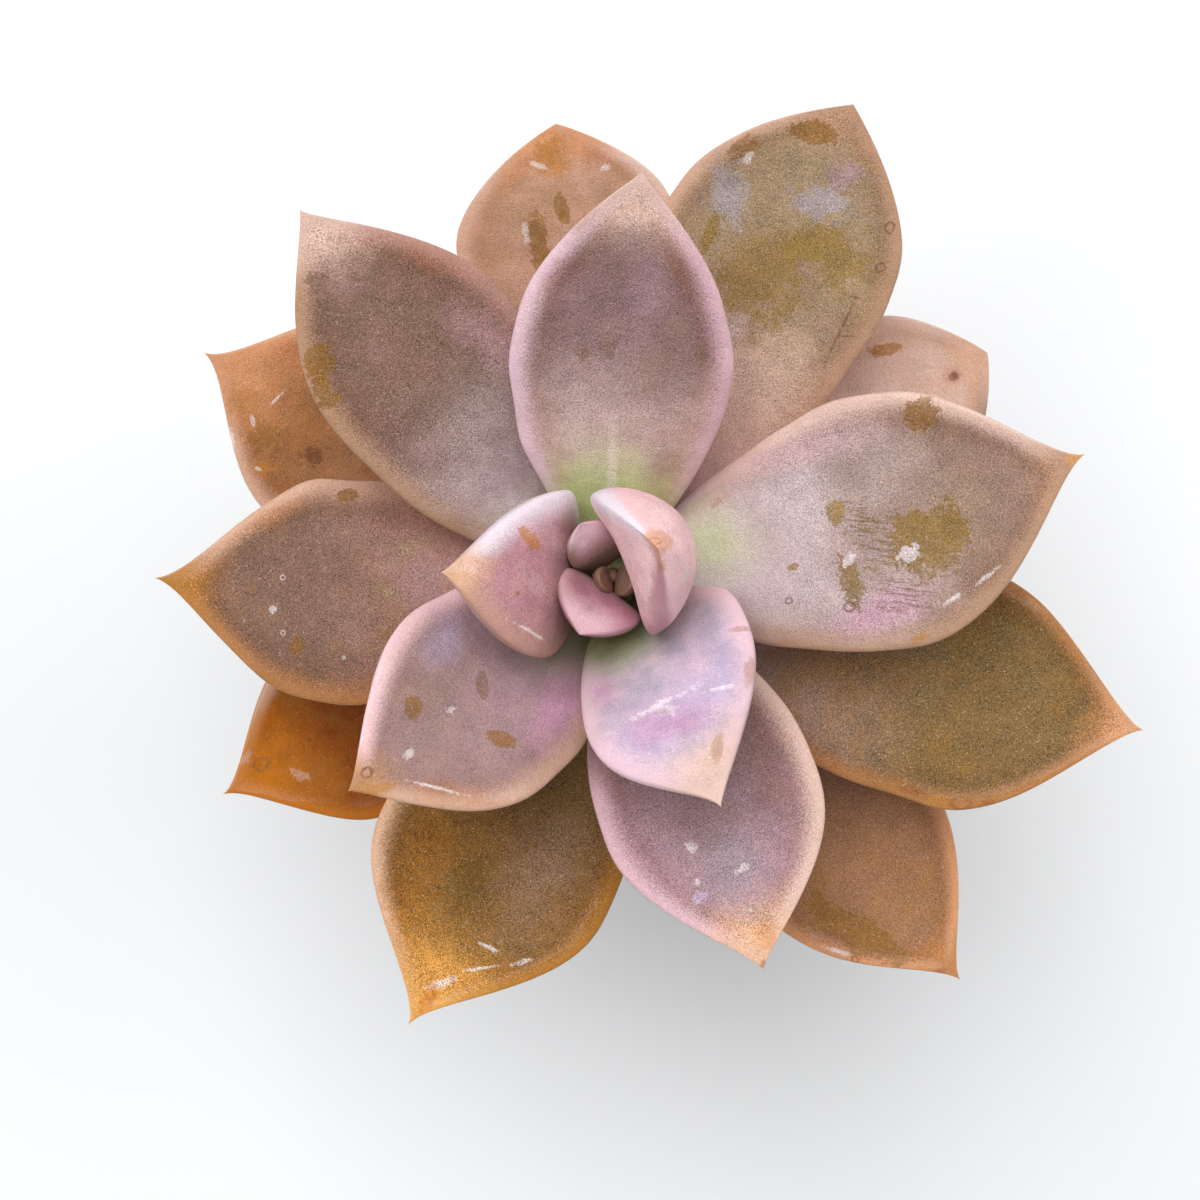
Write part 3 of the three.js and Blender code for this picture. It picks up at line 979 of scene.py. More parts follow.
P = Pigment
BUD_LEAVES = (
    Leaf(LeafAge.BUD, Blade(-1, 240, 13.5, (72, 50), 5.6, start=1.7, base=2.2, thick=3.2, broadest=0.5,
                            swell=1.4, taper=1.1, cup=0.34, fill=1.0, plump=1.0),
         BladeFinish(P.SAGE, P.DUSK, P.RASPBERRY, P.ROSE, P.OLD_ROSE, P.DUSTY_ROSE, P.OLD_ROSE, P.MAUVE,
                     margin=1.0, groove_shade=0.0, tip_reach=0.4, grain=0.08)),
    Leaf(LeafAge.BUD, Blade(-2, 121, 11.5, (70, 50), 3.6, start=2, base=2.2, thick=2.8, broadest=0.5,
                            swell=1.4, taper=0.9, fill=1.0, plump=1.0),
         BladeFinish(P.KHAKI, P.CLAY, P.DUSTY_ROSE, P.SHELL_PINK, P.CLAY, P.OLD_ROSE, P.DUSTY_ROSE, P.CLAY,
                     margin=1.0, groove_shade=0.0, tip_reach=0.45, grain=0.08)),
)
LEAVES = (
    Leaf(LeafAge.YOUNG, Blade(0, 26, 26.5, (63, 100), 9.2, start=2.9, seat=14, base=3.4, thick=6.2,
                              broadest=0.52, taper=1.1, cup=0.52, skew=-0.1, fill=0.55, plump=1.0),
         # The olive base is painted shade in the dark hollow between this leaf and the bud leaves.
         BladeFinish(P.OLIVE, P.BLUSH, P.BLUSH, P.APRICOT, P.PEARL, P.OLD_ROSE, P.BLUSH, P.ROSE,
                     base_reach=0.25, tip_reach=0.08, margin=2.0, groove_shade=0.0, blotch=0.3, grain=0.1,
                     marked_below=True, marks=(
                         spot(25.6, 0.6, 2.4, 2.2, 20, P.APRICOT), spot(25.4, -2.6, 1.6, 1.3, 20, P.OCHRE),
                         spot(24.6, -3.6, 0.9, 0.7, colour=P.RUST), ring(26, 0.8, 0.7, 0.7, 0, P.OCHRE),
                         flush(16, -6, 8, 3, colour=P.ROSE), scar_and_glint(20, -4, 1.4, 0.6, 40)))),
    Leaf(LeafAge.YOUNG, Blade(1, 178.5, 26, (60, 36), 10.3, base=3.4, thick=5, broadest=0.36, taper=1.5,
                              cup=0.3, skew=-0.2, bow=8, fill=0.9, plump=1.0),
         # The pearl right margin is paler because light falls on it from above: painted highlight.
         BladeFinish(P.MOSS, P.ASH_MAUVE, P.OLD_ROSE, P.BISQUE, P.PINK_TAN, P.PEARL, P.LILAC, P.PINK_TAN,
                     change=0.44, tip_reach=0.3, margin=2.6, groove_shade=0.0, blotch=0.3, grain=0.12, marks=(
                         flush(21.6, -1.2, 3.6, 1.6, -12, P.APRICOT),
                         rubbed(15, -4.1, 1.7, 0.9, 135, P.OCHRE), flush(12, -4.5, 6, 2.4, 165, P.ROSE),
                         worn(15, 1.2, 2.6, 1.6, 130, P.DUSTY_ROSE), spot(17.2, 2.6, 0.8, 0.4, 60, P.RUST),
                         scratch_and_glint(15, 7.2, 3.5, 0.3, 156), green(4, 0, 6, 6, colour=P.SAGE)))),
    Leaf(LeafAge.YOUNG, Blade(2, 295.5, 35, (52, 26), 11.8, base=3.4, broadest=0.45, swell=0.85, taper=1.5,
                              cup=0.2, skew=0.36, bow=-18, fill=1.0, plump=0.8),
         BladeFinish(P.MOSS, P.LILAC_GREY, P.LILAC, P.PALE_PEACH, P.SHELL_PINK, P.SHELL_PINK, P.LILAC,
                     P.ROSE, base_reach=0.36, tip_reach=0.36, margin=2.2, groove_shade=0.0, blotch=0.35,
                     grain=0.08, marks=(
                         green(8, -3, 9, 9, colour=P.FERN), flush(23, -3.5, 4, 7, 7), flush(24, 0, 3, 6, 7),
                         # The long pearl mark across the blade at 20.8 mm is a painted highlight along the
                         # crease.
                         flush(15.5, -8, 5, 2.6, 10, P.ORCHID), scar_and_glint(20.8, -2.4, 5.6, 0.5, 97, P.PEARL),
                         scar_and_glint(21.6, -2.2, 1.9, 1.2, 60, P.PEARL), shade(21.8, -2.4, 1.4, 0.6, 60, P.RUST),
                         scratch_and_glint(21.6, 5.2, 2.8, 0.35, 81, P.PEARL),
                         spot(15.4, 10.4, 1.5, 0.5, 81, P.PINK_TAN),
                         spot(20.7, 8.8, 2.6, 0.8, -33, P.PINK_TAN),
                         spot(28.4, 1.8, 2.4, 0.9, -26, P.TAN)))),
    Leaf(LeafAge.GROWN, Blade(3, 86, 51.5, (37, 26), 13.3, broadest=0.52, swell=1.1, taper=1.1, bow=-8),
         BladeFinish(P.LEAF_GREEN, P.PINK_TAUPE, P.DUSK, P.PALE_PEACH, P.SHELL_PINK, P.ROSE, P.DUSTY_ROSE,
                     P.UMBER, base_reach=0.36, tip_reach=0.22, margin=2.0, grain=0.2, marks=(
                         green(9, 0, 9, 9), green(13, 0.4, 11, 1.0, colour=P.CREAM),
                         flush(37, -2.5, 7, 4, 0, P.MAUVE), shade(38.2, 8.6, 4.5, 1.8, -30, P.RUST),
                         shade(40, -6, 5, 1.8, 25, P.RUST), worn(28.8, 4.6, 1.7, 1.3, 0, P.UMBER),
                         worn(29.6, 1.8, 1.6, 1.3, 0, P.UMBER), worn(29.8, -9.4, 2.4, 1.6, 10, P.UMBER),
                         flush(45, 6, 5, 1.6, -40, P.TAN)))),
    Leaf(LeafAge.GROWN, Blade(4, 219, 44, (36, 28), 13.3, broadest=0.5, taper=1.35, bow=-16),
         BladeFinish(P.MOSS, P.MAUVE, P.ASH_MAUVE, P.OCHRE, P.PEACH, P.BLUSH, P.DUSTY_ROSE, P.CLAY,
                     tip_reach=0.17, margin=2.2, groove_shade=0.35, grain=0.14, wet=0.4, marks=(
                         green(10, 0, 10, 8, colour=P.SAGE), flush(22, -8, 7, 4, 10, P.LILAC),
                         flush(16, 7, 9, 4, 20), shade(34, 6.6, 7, 2.6, 137, P.AMBER),
                         scratch_and_glint(34.6, 5.5, 4.7, 0.3, 132), rubbed(31.2, -4, 1.5, 1.2, 40, P.BRONZE),
                         rubbed(24.2, 5.4, 1.9, 1, 118, P.BRONZE),
                         rubbed(21.6, -1.2, 1.8, 0.8, 48, P.UMBER), flush(39, 0.5, 4.5, 3.5, 0, P.TAN),
                         ring(40.7, -0.7, 1, 0.8), scar_and_glint(34.8, 0.2, 0.8, 0.5), scar_and_glint(27, -1, 0.7, 0.5),
                         spot(40.5, 1.8, 2.6, 0.8, 160, P.OCHRE)))),
    Leaf(LeafAge.GROWN, Blade(5, 14.5, 60, (29, 20), 15.6, broadest=0.58, swell=1.1, taper=1.6, bow=14),
         BladeFinish(P.PEARL, P.PEARL_GREY, P.CLAY, P.TAN, P.PALE_PEACH, P.TAN, P.DUSTY_ROSE, P.UMBER,
                     base_reach=0.3, change=0.58, tip_reach=0.16, margin=2.0, grain=0.2, blotch=0.35,
                     wet=0.4, marks=(
                         green(11, 2, 10, 8, 0, P.LEAF_GREEN), flush(26, 11, 18, 3, 0, P.ROSE),
                         flush(31, -10.5, 9, 4, 8), flush(42, -2, 7, 8, 0, P.KHAKI),
                         rubbed(42.8, 10.9, 2.6, 1.9, 0, P.BRONZE),
                         rubbed(39.4, -3.6, 5.2, 4.6, 0, P.MUSTARD), streaked(31, 1, 3, 2.6, -18),
                         streaked(33, -3, 4.4, 4.2, -18), streaked(34.6, -9, 4.6, 3.2, -18, P.UMBER),
                         rubbed(28.6, -6.3, 1.5, 3.4, 0, P.MUSTARD), rubbed(28.5, 2.5, 1.3, 1.8),
                         scar_and_glint(36.4, -4.6, 1.3, 0.9, 0, P.PEARL), scar_and_glint(29, -3.5, 1.2, 0.6, 40, P.PEARL),
                         ring(27.7, -9.2, 0.9, 0.8), ring(20.2, -6.9, 0.7, 0.6),
                         rubbed(21.8, -2.9, 0.8, 0.5), spot(35, -14.6, 1.8, 0.8, 12, P.OCHRE),
                         # The two thin pale marks near the right margin, at 44.5 and 40 mm, are painted
                         # glints of the wet skin.
                         spot(13.5, 6.9, 1.5, 0.5, 30, P.PINK_TAN), scratch_and_glint(44.5, -9.9, 2.3, 0.35, 20),
                         scratch_and_glint(40, -11.2, 1.6, 0.4, 15), spot(59, 0, 2.2, 1.6, colour=P.HONEY)))),
    Leaf(LeafAge.GROWN, Blade(6, 130.5, 59, (28, 17), 13.5, broadest=0.57, taper=1.25, bow=-8),
         BladeFinish(P.CREAM, P.PEARL_GREY, P.UMBER, P.PALE_PEACH, P.TAN, P.PINK_TAN, P.DUSTY_ROSE, P.DUSK,
                     base_reach=0.34, change=0.42, tip_reach=0.2, margin=2.1, grain=0.24, marks=(
                         shade(45, -9, 9, 2.6, 29, P.RUST), flush(33, -8, 10, 4, 8, P.DUSTY_ROSE),
                         rubbed(43.3, 9.4, 2.5, 2, 143, P.BRONZE), rubbed(41.3, 11, 2, 1.2, 145, P.BRONZE),
                         rubbed(39, 11.6, 1.8, 0.8, 75, P.BRONZE), rubbed(50, 3.4, 2.2, 1.6, 0, P.UMBER),
                         dark_scratch(35.5, -3.6, 3.1, 0.18, 3), dark_scratch(37.8, -1.5, 0.9, 0.16, 11)))),
    Leaf(LeafAge.GROWN, Blade(7, 291, 51.5, (26, 14), 14, broadest=0.57, bow=-14),
         BladeFinish(P.MAUVE, P.DUSK, P.MAUVE, P.BISQUE, P.PALE_PEACH, P.ROSE, P.DUSTY_ROSE, P.UMBER,
                     tip_reach=0.22, margin=2.2, grain=0.22, marks=(
                         # The brown mark at 20 mm on the right margin is painted shadow, where the leaf
                         # above covers this one.
                         shade(30, 8, 8, 4, 0), shade(20, -11, 8, 3, 8),
                         flush(38, 0, 8, 6, 0, P.LILAC_GREY), scar_and_glint(34.3, -4, 0.8, 0.6),
                         scar_and_glint(38.8, 0.8, 1.2, 0.6, 110), scar_and_glint(38.6, -4.8, 0.5, 0.3),
                         scar_and_glint(40.8, -5.3, 1.1, 0.7, 110, P.LILAC), scar_and_glint(44, 0.4, 0.5, 0.4),
                         spot(47.6, 1.4, 2.2, 1.8, colour=P.APRICOT),
                         spot(50.8, 0.3, 0.9, 0.8, colour=P.RUST)))),
    Leaf(LeafAge.GROWN, Blade(8, 63, 64.5, (19, 17), 15.2, base=3.4, broadest=0.66, taper=1),
         BladeFinish(P.SHELL_PINK, P.PALE_PEACH, P.KHAKI, P.TAN, P.PEACH, P.TAN, P.DUSTY_ROSE, P.CLAY,
                     tip_reach=0.12, margin=1.7, grain=0.2, blotch=0.9, wet=0.2, marks=(
                         worn(40, 0.5, 8.5, 7, 0, P.STRAW), worn(47, -5.5, 5, 6, 0, P.STRAW),
                         rubbed(59.4, 2.8, 1.5, 3.4, 10, P.BRONZE),
                         worn(54.2, 9.8, 2.6, 1.2, -38, P.BRONZE), rubbed(42.8, 8.6, 3.4, 0.8, 7, P.STRAW),
                         scar_and_glint(53.2, 8.6, 0.8, 0.5, 0), worn(47.8, 9, 5.4, 2.8, 49, P.LILAC_GREY),
                         worn(52, -2, 2.4, 4.6, 12, P.LILAC_GREY), worn(56.7, -3, 2.4, 2.6, 0, P.MAUVE),
                         worn(33.6, 0.5, 2.4, 2, 0, P.PINK_TAUPE), dark_scratch(39.8, -11.4, 6.2, 0.26, 4),
                         dark_scratch(43.8, -11.1, 1.6, 0.2, 101), dark_scratch(39, -12.4, 1.7, 0.2, 119),
                         ring(53.5, -10.6, 1, 0.7), ring(48.6, -12, 0.9, 0.7)))),
    Leaf(LeafAge.GROWN, Blade(9, 180, 56, (20, 13), 14.2, broadest=0.57, taper=1.7, bow=-14),
         BladeFinish(P.PINK_TAUPE, P.PINK_TAN, P.UMBER, P.OCHRE, P.CARAMEL, P.PEACH, P.DUSTY_ROSE, P.BRONZE,
                     tip_reach=0.2, margin=2.2, grain=0.24, wet=0.3, marks=(
                         shade(42, -9, 8, 2.4, 28, P.AMBER), flush(22, 0, 7, 7, 0, P.MAUVE),
                         worn(24.6, -5.1, 2.6, 1.7, 60), worn(22, -6.4, 2.4, 0.9, -20),
                         rubbed(32.2, -12.2, 1.6, 0.9, 16, P.BRONZE), worn(26.8, 0.2, 2.8, 0.8, -29),
                         rubbed(38, 7, 1.4, 1, 60, P.BRONZE), scar_and_glint(41.1, 2.5, 0.5, 0.5),
                         ring(40.1, -1.4, 0.4, 0.4, 0, P.BONE), ring(39.7, 5.4, 0.4, 0.4, 0, P.BONE),
                         scar_and_glint(32.2, 8.3, 0.3, 0.3)))),
    Leaf(LeafAge.GROWN, Blade(10, 344, 67.5, (18, 10), 15.3, broadest=0.62, taper=1.5, bow=10),
         BladeFinish(P.PINK_TAUPE, P.CLAY, P.OLIVE, P.APRICOT, P.CARAMEL, P.CARAMEL, P.TAN, P.BRONZE,
                     tip_reach=0.14, margin=1.7, grain=0.28, wet=0.3, marks=(
                         flush(30, 6, 10, 5, 0, P.ASH_MAUVE), spot(41.8, -14.2, 1.8, 0.8, 6, P.RUST),
                         spot(45.4, -14, 1.8, 0.9, 17, P.OCHRE), ring(48, -13.6, 1.6, 0.9, 16, P.RUST),
                         spot(51, -12.8, 1.3, 0.6, 27, P.RUST)))),
    Leaf(LeafAge.OLD, Blade(11, 97, 56, (15, 10), 14.3, broadest=0.72, taper=0.95),
         BladeFinish(P.CLAY, P.CLAY, P.TAN, P.APRICOT, P.PEACH, P.PALE_PEACH, P.DUSTY_ROSE, P.PINK_TAN,
                     tip_reach=0.14, margin=1.9, grain=0.1, wet=0.3, marks=(
                         worn(52, 1.2, 3.4, 2.4, 20, P.OCHRE), flush(50.6, 6.9, 4, 2.2, -30, P.APRICOT),
                         rubbed(41, 4.0, 5.4, 1.4, 0, P.BRONZE), rubbed(45.4, 0.6, 2.2, 0.9, 10, P.BRONZE),
                         scar_and_glint(42.8, 5.4, 1.8, 0.5, -4), scar_and_glint(51.1, 2.8, 1.2, 0.3, 60),
                         scar_and_glint(49.9, -5.4, 0.7, 0.4, 90)))),
    Leaf(LeafAge.OLD, Blade(12, 245.5, 60.5, (13, 8), 16.1, taper=1.7, bow=-11),
         BladeFinish(P.MOSS, P.OLIVE, P.BRONZE, P.HONEY, P.OCHRE, P.BISQUE, P.TAN, P.OLIVE, tip_reach=0.28,
                     margin=2.0, grain=0.3, wet=0.35, marks=(
                         flush(42, -8, 14, 6, 8, P.AMBER_BROWN), worn(41, -1.6, 4.6, 3.4, 26, P.MOSS_BROWN),
                         # The four thin pale marks are painted glints of the wet skin.
                         flush(36, 6, 14, 8, 0, P.CLAY), scratch_and_glint(47, 4.1, 2.2, 0.4, 93),
                         scratch_and_glint(53.8, 1.1, 2.6, 0.7, 138), scratch_and_glint(49.9, 4.6, 3, 0.3, 126),
                         scratch_and_glint(46.8, 9, 1.7, 0.4, 135), spot(56.5, 0.6, 2.4, 1.2, colour=P.AMBER)))),
    Leaf(LeafAge.OLD, Blade(13, 31, 54, (10, 8), 12.7, base=3.6, broadest=0.7, taper=0.9),
         BladeFinish(P.DUSTY_ROSE, P.PINK_TAUPE, P.PALE_PEACH, P.PEACH, P.PALE_PEACH, P.CLAY, P.DUSTY_ROSE,
                     P.TAN, tip_reach=0.12, grain=0.08, wet=0.2, marks=(
                         rubbed(43, 7.2, 2.8, 0.9, -26, P.OCHRE), flush(48.8, -0.3, 2, 1.8, 0, P.RUST),
                         spot(48.8, -0.3, 0.9, 0.8, colour=P.BROWN)))),
    Leaf(LeafAge.OLD, Blade(14, 151, 58, (10, 8), 14.7, broadest=0.65, taper=1.8),
         BladeFinish(P.DUSTY_ROSE, P.PEACH, P.TOFFEE, P.APRICOT, P.PEACH, P.APRICOT, P.TAN, P.RUST,
                     tip_reach=0.3, margin=1.9, grain=0.14, wet=0.4, marks=(
                         worn(50, 2.8, 3, 2.4, 0, P.CARAMEL), worn(46, 5.8, 3, 2.4, 30, P.BRONZE),
                         worn(44, 9.4, 2.6, 1.4, 30, P.OCHRE), worn(39.2, 4.6, 1.8, 1.6, 0, P.BROWN),
                         shade(46, 0, 2.4, 1.4, 76), scratch_and_glint(46.8, 0.5, 1.5, 0.25, 76),
                         # The thin pale mark near the left margin at 49.4 mm is a painted glint of the wet
                         # skin.
                         scratch_and_glint(49.4, 8, 1.8, 0.4, 124), scar_and_glint(48.1, 4.7, 1, 0.3, 130),
                         scar_and_glint(44.7, 9.8, 0.6, 0.3)))),
    Leaf(LeafAge.OLD, Blade(15, 311, 66.5, (9, 6), 13.8, broadest=0.65, taper=1.5),
         BladeFinish(P.OLIVE, P.UMBER, P.CINNAMON, P.CARAMEL, P.APRICOT, P.APRICOT, P.TAN, P.BRONZE,
                     tip_reach=0.14, margin=1.6, grain=0.2, wet=0.35, marks=(
                         rubbed(53.5, -6, 7, 2.6, 20, P.BRONZE), rubbed(47.9, -7.5, 2.4, 1.6, 0, P.BRONZE),
                         # The thin pale mark near the right margin at 53.2 mm is a painted glint of the wet
                         # skin.
                         flush(38, 6, 9, 5, 0, P.UMBER), scratch_and_glint(53.2, -9.9, 2.3, 0.5, 35),
                         ring(55.7, -8.7, 0.6, 0.5), spot(64, -1, 1, 0.5, 60, P.RUST)))),
    Leaf(LeafAge.OLD, Blade(16, 75, 48, (8, 6), 12, broadest=0.65),
         BladeFinish(P.OLIVE, P.PINK_TAUPE, P.SAND, P.SAND, P.TAN, P.TAN, P.TAN, P.KHAKI, grain=0.16,
                     wet=0.3, marks=(
                         rubbed(36, 2, 3, 2), ring(30, -4, 0.8, 0.6)))),
    Leaf(LeafAge.OLD, Blade(17, 209, 56, (7, 6), 13.6, broadest=0.62, taper=1.7),
         BladeFinish(P.OLIVE, P.UMBER, P.DARK_AMBER, P.AMBER, P.AMBER, P.BISQUE, P.TAN, P.BRONZE,
                     tip_reach=0.36, margin=1.6, grain=0.1, wet=0.35, marks=(
                         # The pale peach mark at 45.7 mm is a painted glint of the wet skin; the one at 50.9
                         # mm is a pale spot.
                         ring(49.5, -1, 1.4, 1.1, 0, P.RUST), scar_and_glint(45.7, 2.7, 1.7, 0.7, 134, P.PEACH),
                         scar_and_glint(50.9, -2.8, 1, 0.6, 30, P.PEACH), spot(42.5, -0.8, 0.4, 0.3, colour=P.BROWN),
                         flush(46, -9, 9, 2.5, 20, P.PEACH)))),
)
TIP_LEAVES = (
    Leaf(LeafAge.BUD, Blade(-3, 345, 7, (78, 70), 2, start=0.8, base=1.4, thick=2.2, broadest=0.5,
                            taper=0.8, plump=1.0),
         BladeFinish(P.MOSS, P.UMBER, P.UMBER, P.CLAY, P.UMBER, P.UMBER, P.UMBER, P.UMBER, margin=0.4)),
    Leaf(LeafAge.BUD, Blade(-4, 200, 5, (80, 70), 1.7, start=0.5, base=1.2, thick=1.8, broadest=0.5,
                            taper=0.8, plump=1.0),
         BladeFinish(P.MOSS, P.UMBER, P.UMBER, P.CLAY, P.UMBER, P.UMBER, P.UMBER, P.UMBER, margin=0.4)),
)


@dataclass
class Rosette:
    """All the leaves in their spiral, with the growing tip in the middle."""

    leaves: Sequence[Leaf] = LEAVES
    buds: Sequence[Leaf] = BUD_LEAVES
    tips: Sequence[Leaf] = TIP_LEAVES
    core_radius: float = 1.3
    core_from: float = 101.5
    core_top: float = 106.0

    def build(self) -> list[bpy.types.Object]:
        """Make every leaf and the tip, and return the pieces.

        Returns:
            The rosette's pieces.
        """
        pieces = []
        for number, leaf in enumerate(self.leaves, 1):
            pieces.append(leaf.build(f"fleshy_leaf_{number:02d}", f"leaf_{number:02d}"))
        for number, leaf in enumerate(self.buds, 1):
            pieces.append(leaf.build(f"fleshy_bud_leaf_{number}", f"leaf_bud_{number}"))
        for number, leaf in enumerate(self.tips, 1):
            pieces.append(leaf.build(f"growing_tip_leaf_{number}", "growing_tip"))
        pieces.append(self.core(pieces[-1].data.materials[0]))
        return pieces

    def core(self, skin: bpy.types.Material) -> bpy.types.Object:
        """Make the small dome that the youngest leaves grow from: a circle whose radius closes as a root.

        Args:
            skin: the material of the youngest leaves.

        Returns:
            The piece.
        """
        share = np.linspace(0, 0.98, 18)[:, None]
        angle = np.linspace(0, 2 * pi, 32, endpoint=False)[None]
        radius = self.core_radius * np.sqrt(1 - share ** 2)
        height = self.core_from + (self.core_top - self.core_from) * share + 0 * angle
        rings = np.stack([radius * np.cos(angle), radius * np.sin(angle), height], -1)
        points, faces = capped_grid(rings)
        obj = to_mesh("growing_tip_core", points, faces)
        count = len(points)
        add_vectors(obj, "share", np.tile([0.3, 0.0, 1.0], (count, 1)))
        add_vectors(obj, "blade", np.tile([2.0, 0.0, 3.0], (count, 1)))
        return settle(obj, LeafAge.BUD.value, skin, "growing_tip")


@dataclass
class Stem:
    """The short stem, with a spiral of leaf scars on its bare length."""

    radius: float = 5.0
    top_radius: float = 2.6
    taper_from: float = 91.0
    top: float = 102.5
    bottom: float = 37.0
    end_radius: float = 2.5
    end_taper: float = 8.0
    scars: int = 12
    first_scar: float = 62.0
    scar_step: float = 0.95
    scar_height: float = 0.34
    scar_width: float = 0.3
    wrinkle_height: float = 0.1
    wrinkle_length: float = 1.6
    sunk: float = 0.12

    def build(self) -> bpy.types.Object:
        """Make the stem: a turned profile with a low crescent ridge where each old leaf fell, and fine
        wrinkles.

        Returns:
            The piece.
        """
        height = np.linspace(self.bottom, self.top, 260)[:, None]
        angle = np.linspace(0, 2 * pi, 96, endpoint=False)[None]
        base = np.interp(height, [self.bottom, self.bottom + self.end_taper, self.taper_from, self.top],
                         [self.end_radius, self.radius, self.radius, self.top_radius])
        relief = np.zeros((height.size, angle.size))
        for number in range(self.scars):
            turn = radians(number * GOLDEN_TURN)
            away = (angle - turn + pi) % (2 * pi) - pi
            low = height - (self.first_scar + number * self.scar_step) - 0.5 * np.cos(away * 1.4)
            ridge = self.scar_height * np.exp(-(low / self.scar_width) ** 2)
            relief += ridge * smooth(-np.abs(away), -1.1, -0.6)
        skin = np.stack([np.cos(angle) * self.radius + 0 * height, np.sin(angle) * self.radius + 0 * height,
                         height * 0.25 + 0 * angle], -1)
        radius = base - self.sunk + relief + self.wrinkle_height * waves(skin, self.wrinkle_length, 41)
        rings = np.stack([radius * np.cos(angle), radius * np.sin(angle), height + 0 * angle], -1)
        points, faces = capped_grid(rings)
        return settle(to_mesh("short_stem", points, faces), "stem_skin", self.skin(), "stem")

    def skin(self) -> bpy.types.Material:
        """Build the stem's skin: brown below and green above, with corky specks.

        Returns:
            The material.
        """
        material, graph, shader = new_material("stem_bark")
        wear = graph.add("ShaderNodeGroup", node_tree=wear_group())
        wire(graph, wear, Cloud_Scale=260.0, Amount=0.8)
        _, _, height = graph.split(graph.place())
        colour = graph.mix(graph.ease(height, 0.066, 0.082), P.BARK, P.STEM_GREEN)
        colour = graph.mix(wear.outputs["Dust"], colour, P.PEAT_LIGHT)
        colour = graph.mix(wear.outputs["Scuffs"], colour, P.TAN)
        rough = graph.ease(wear.outputs["Specks"], 0.3, 0.7, 0.6, 0.85)
        wire(graph, shader, Base_Color=colour, Roughness=rough,
             Normal=graph.bump(wear.outputs["Specks"], 0.0002))
        return material


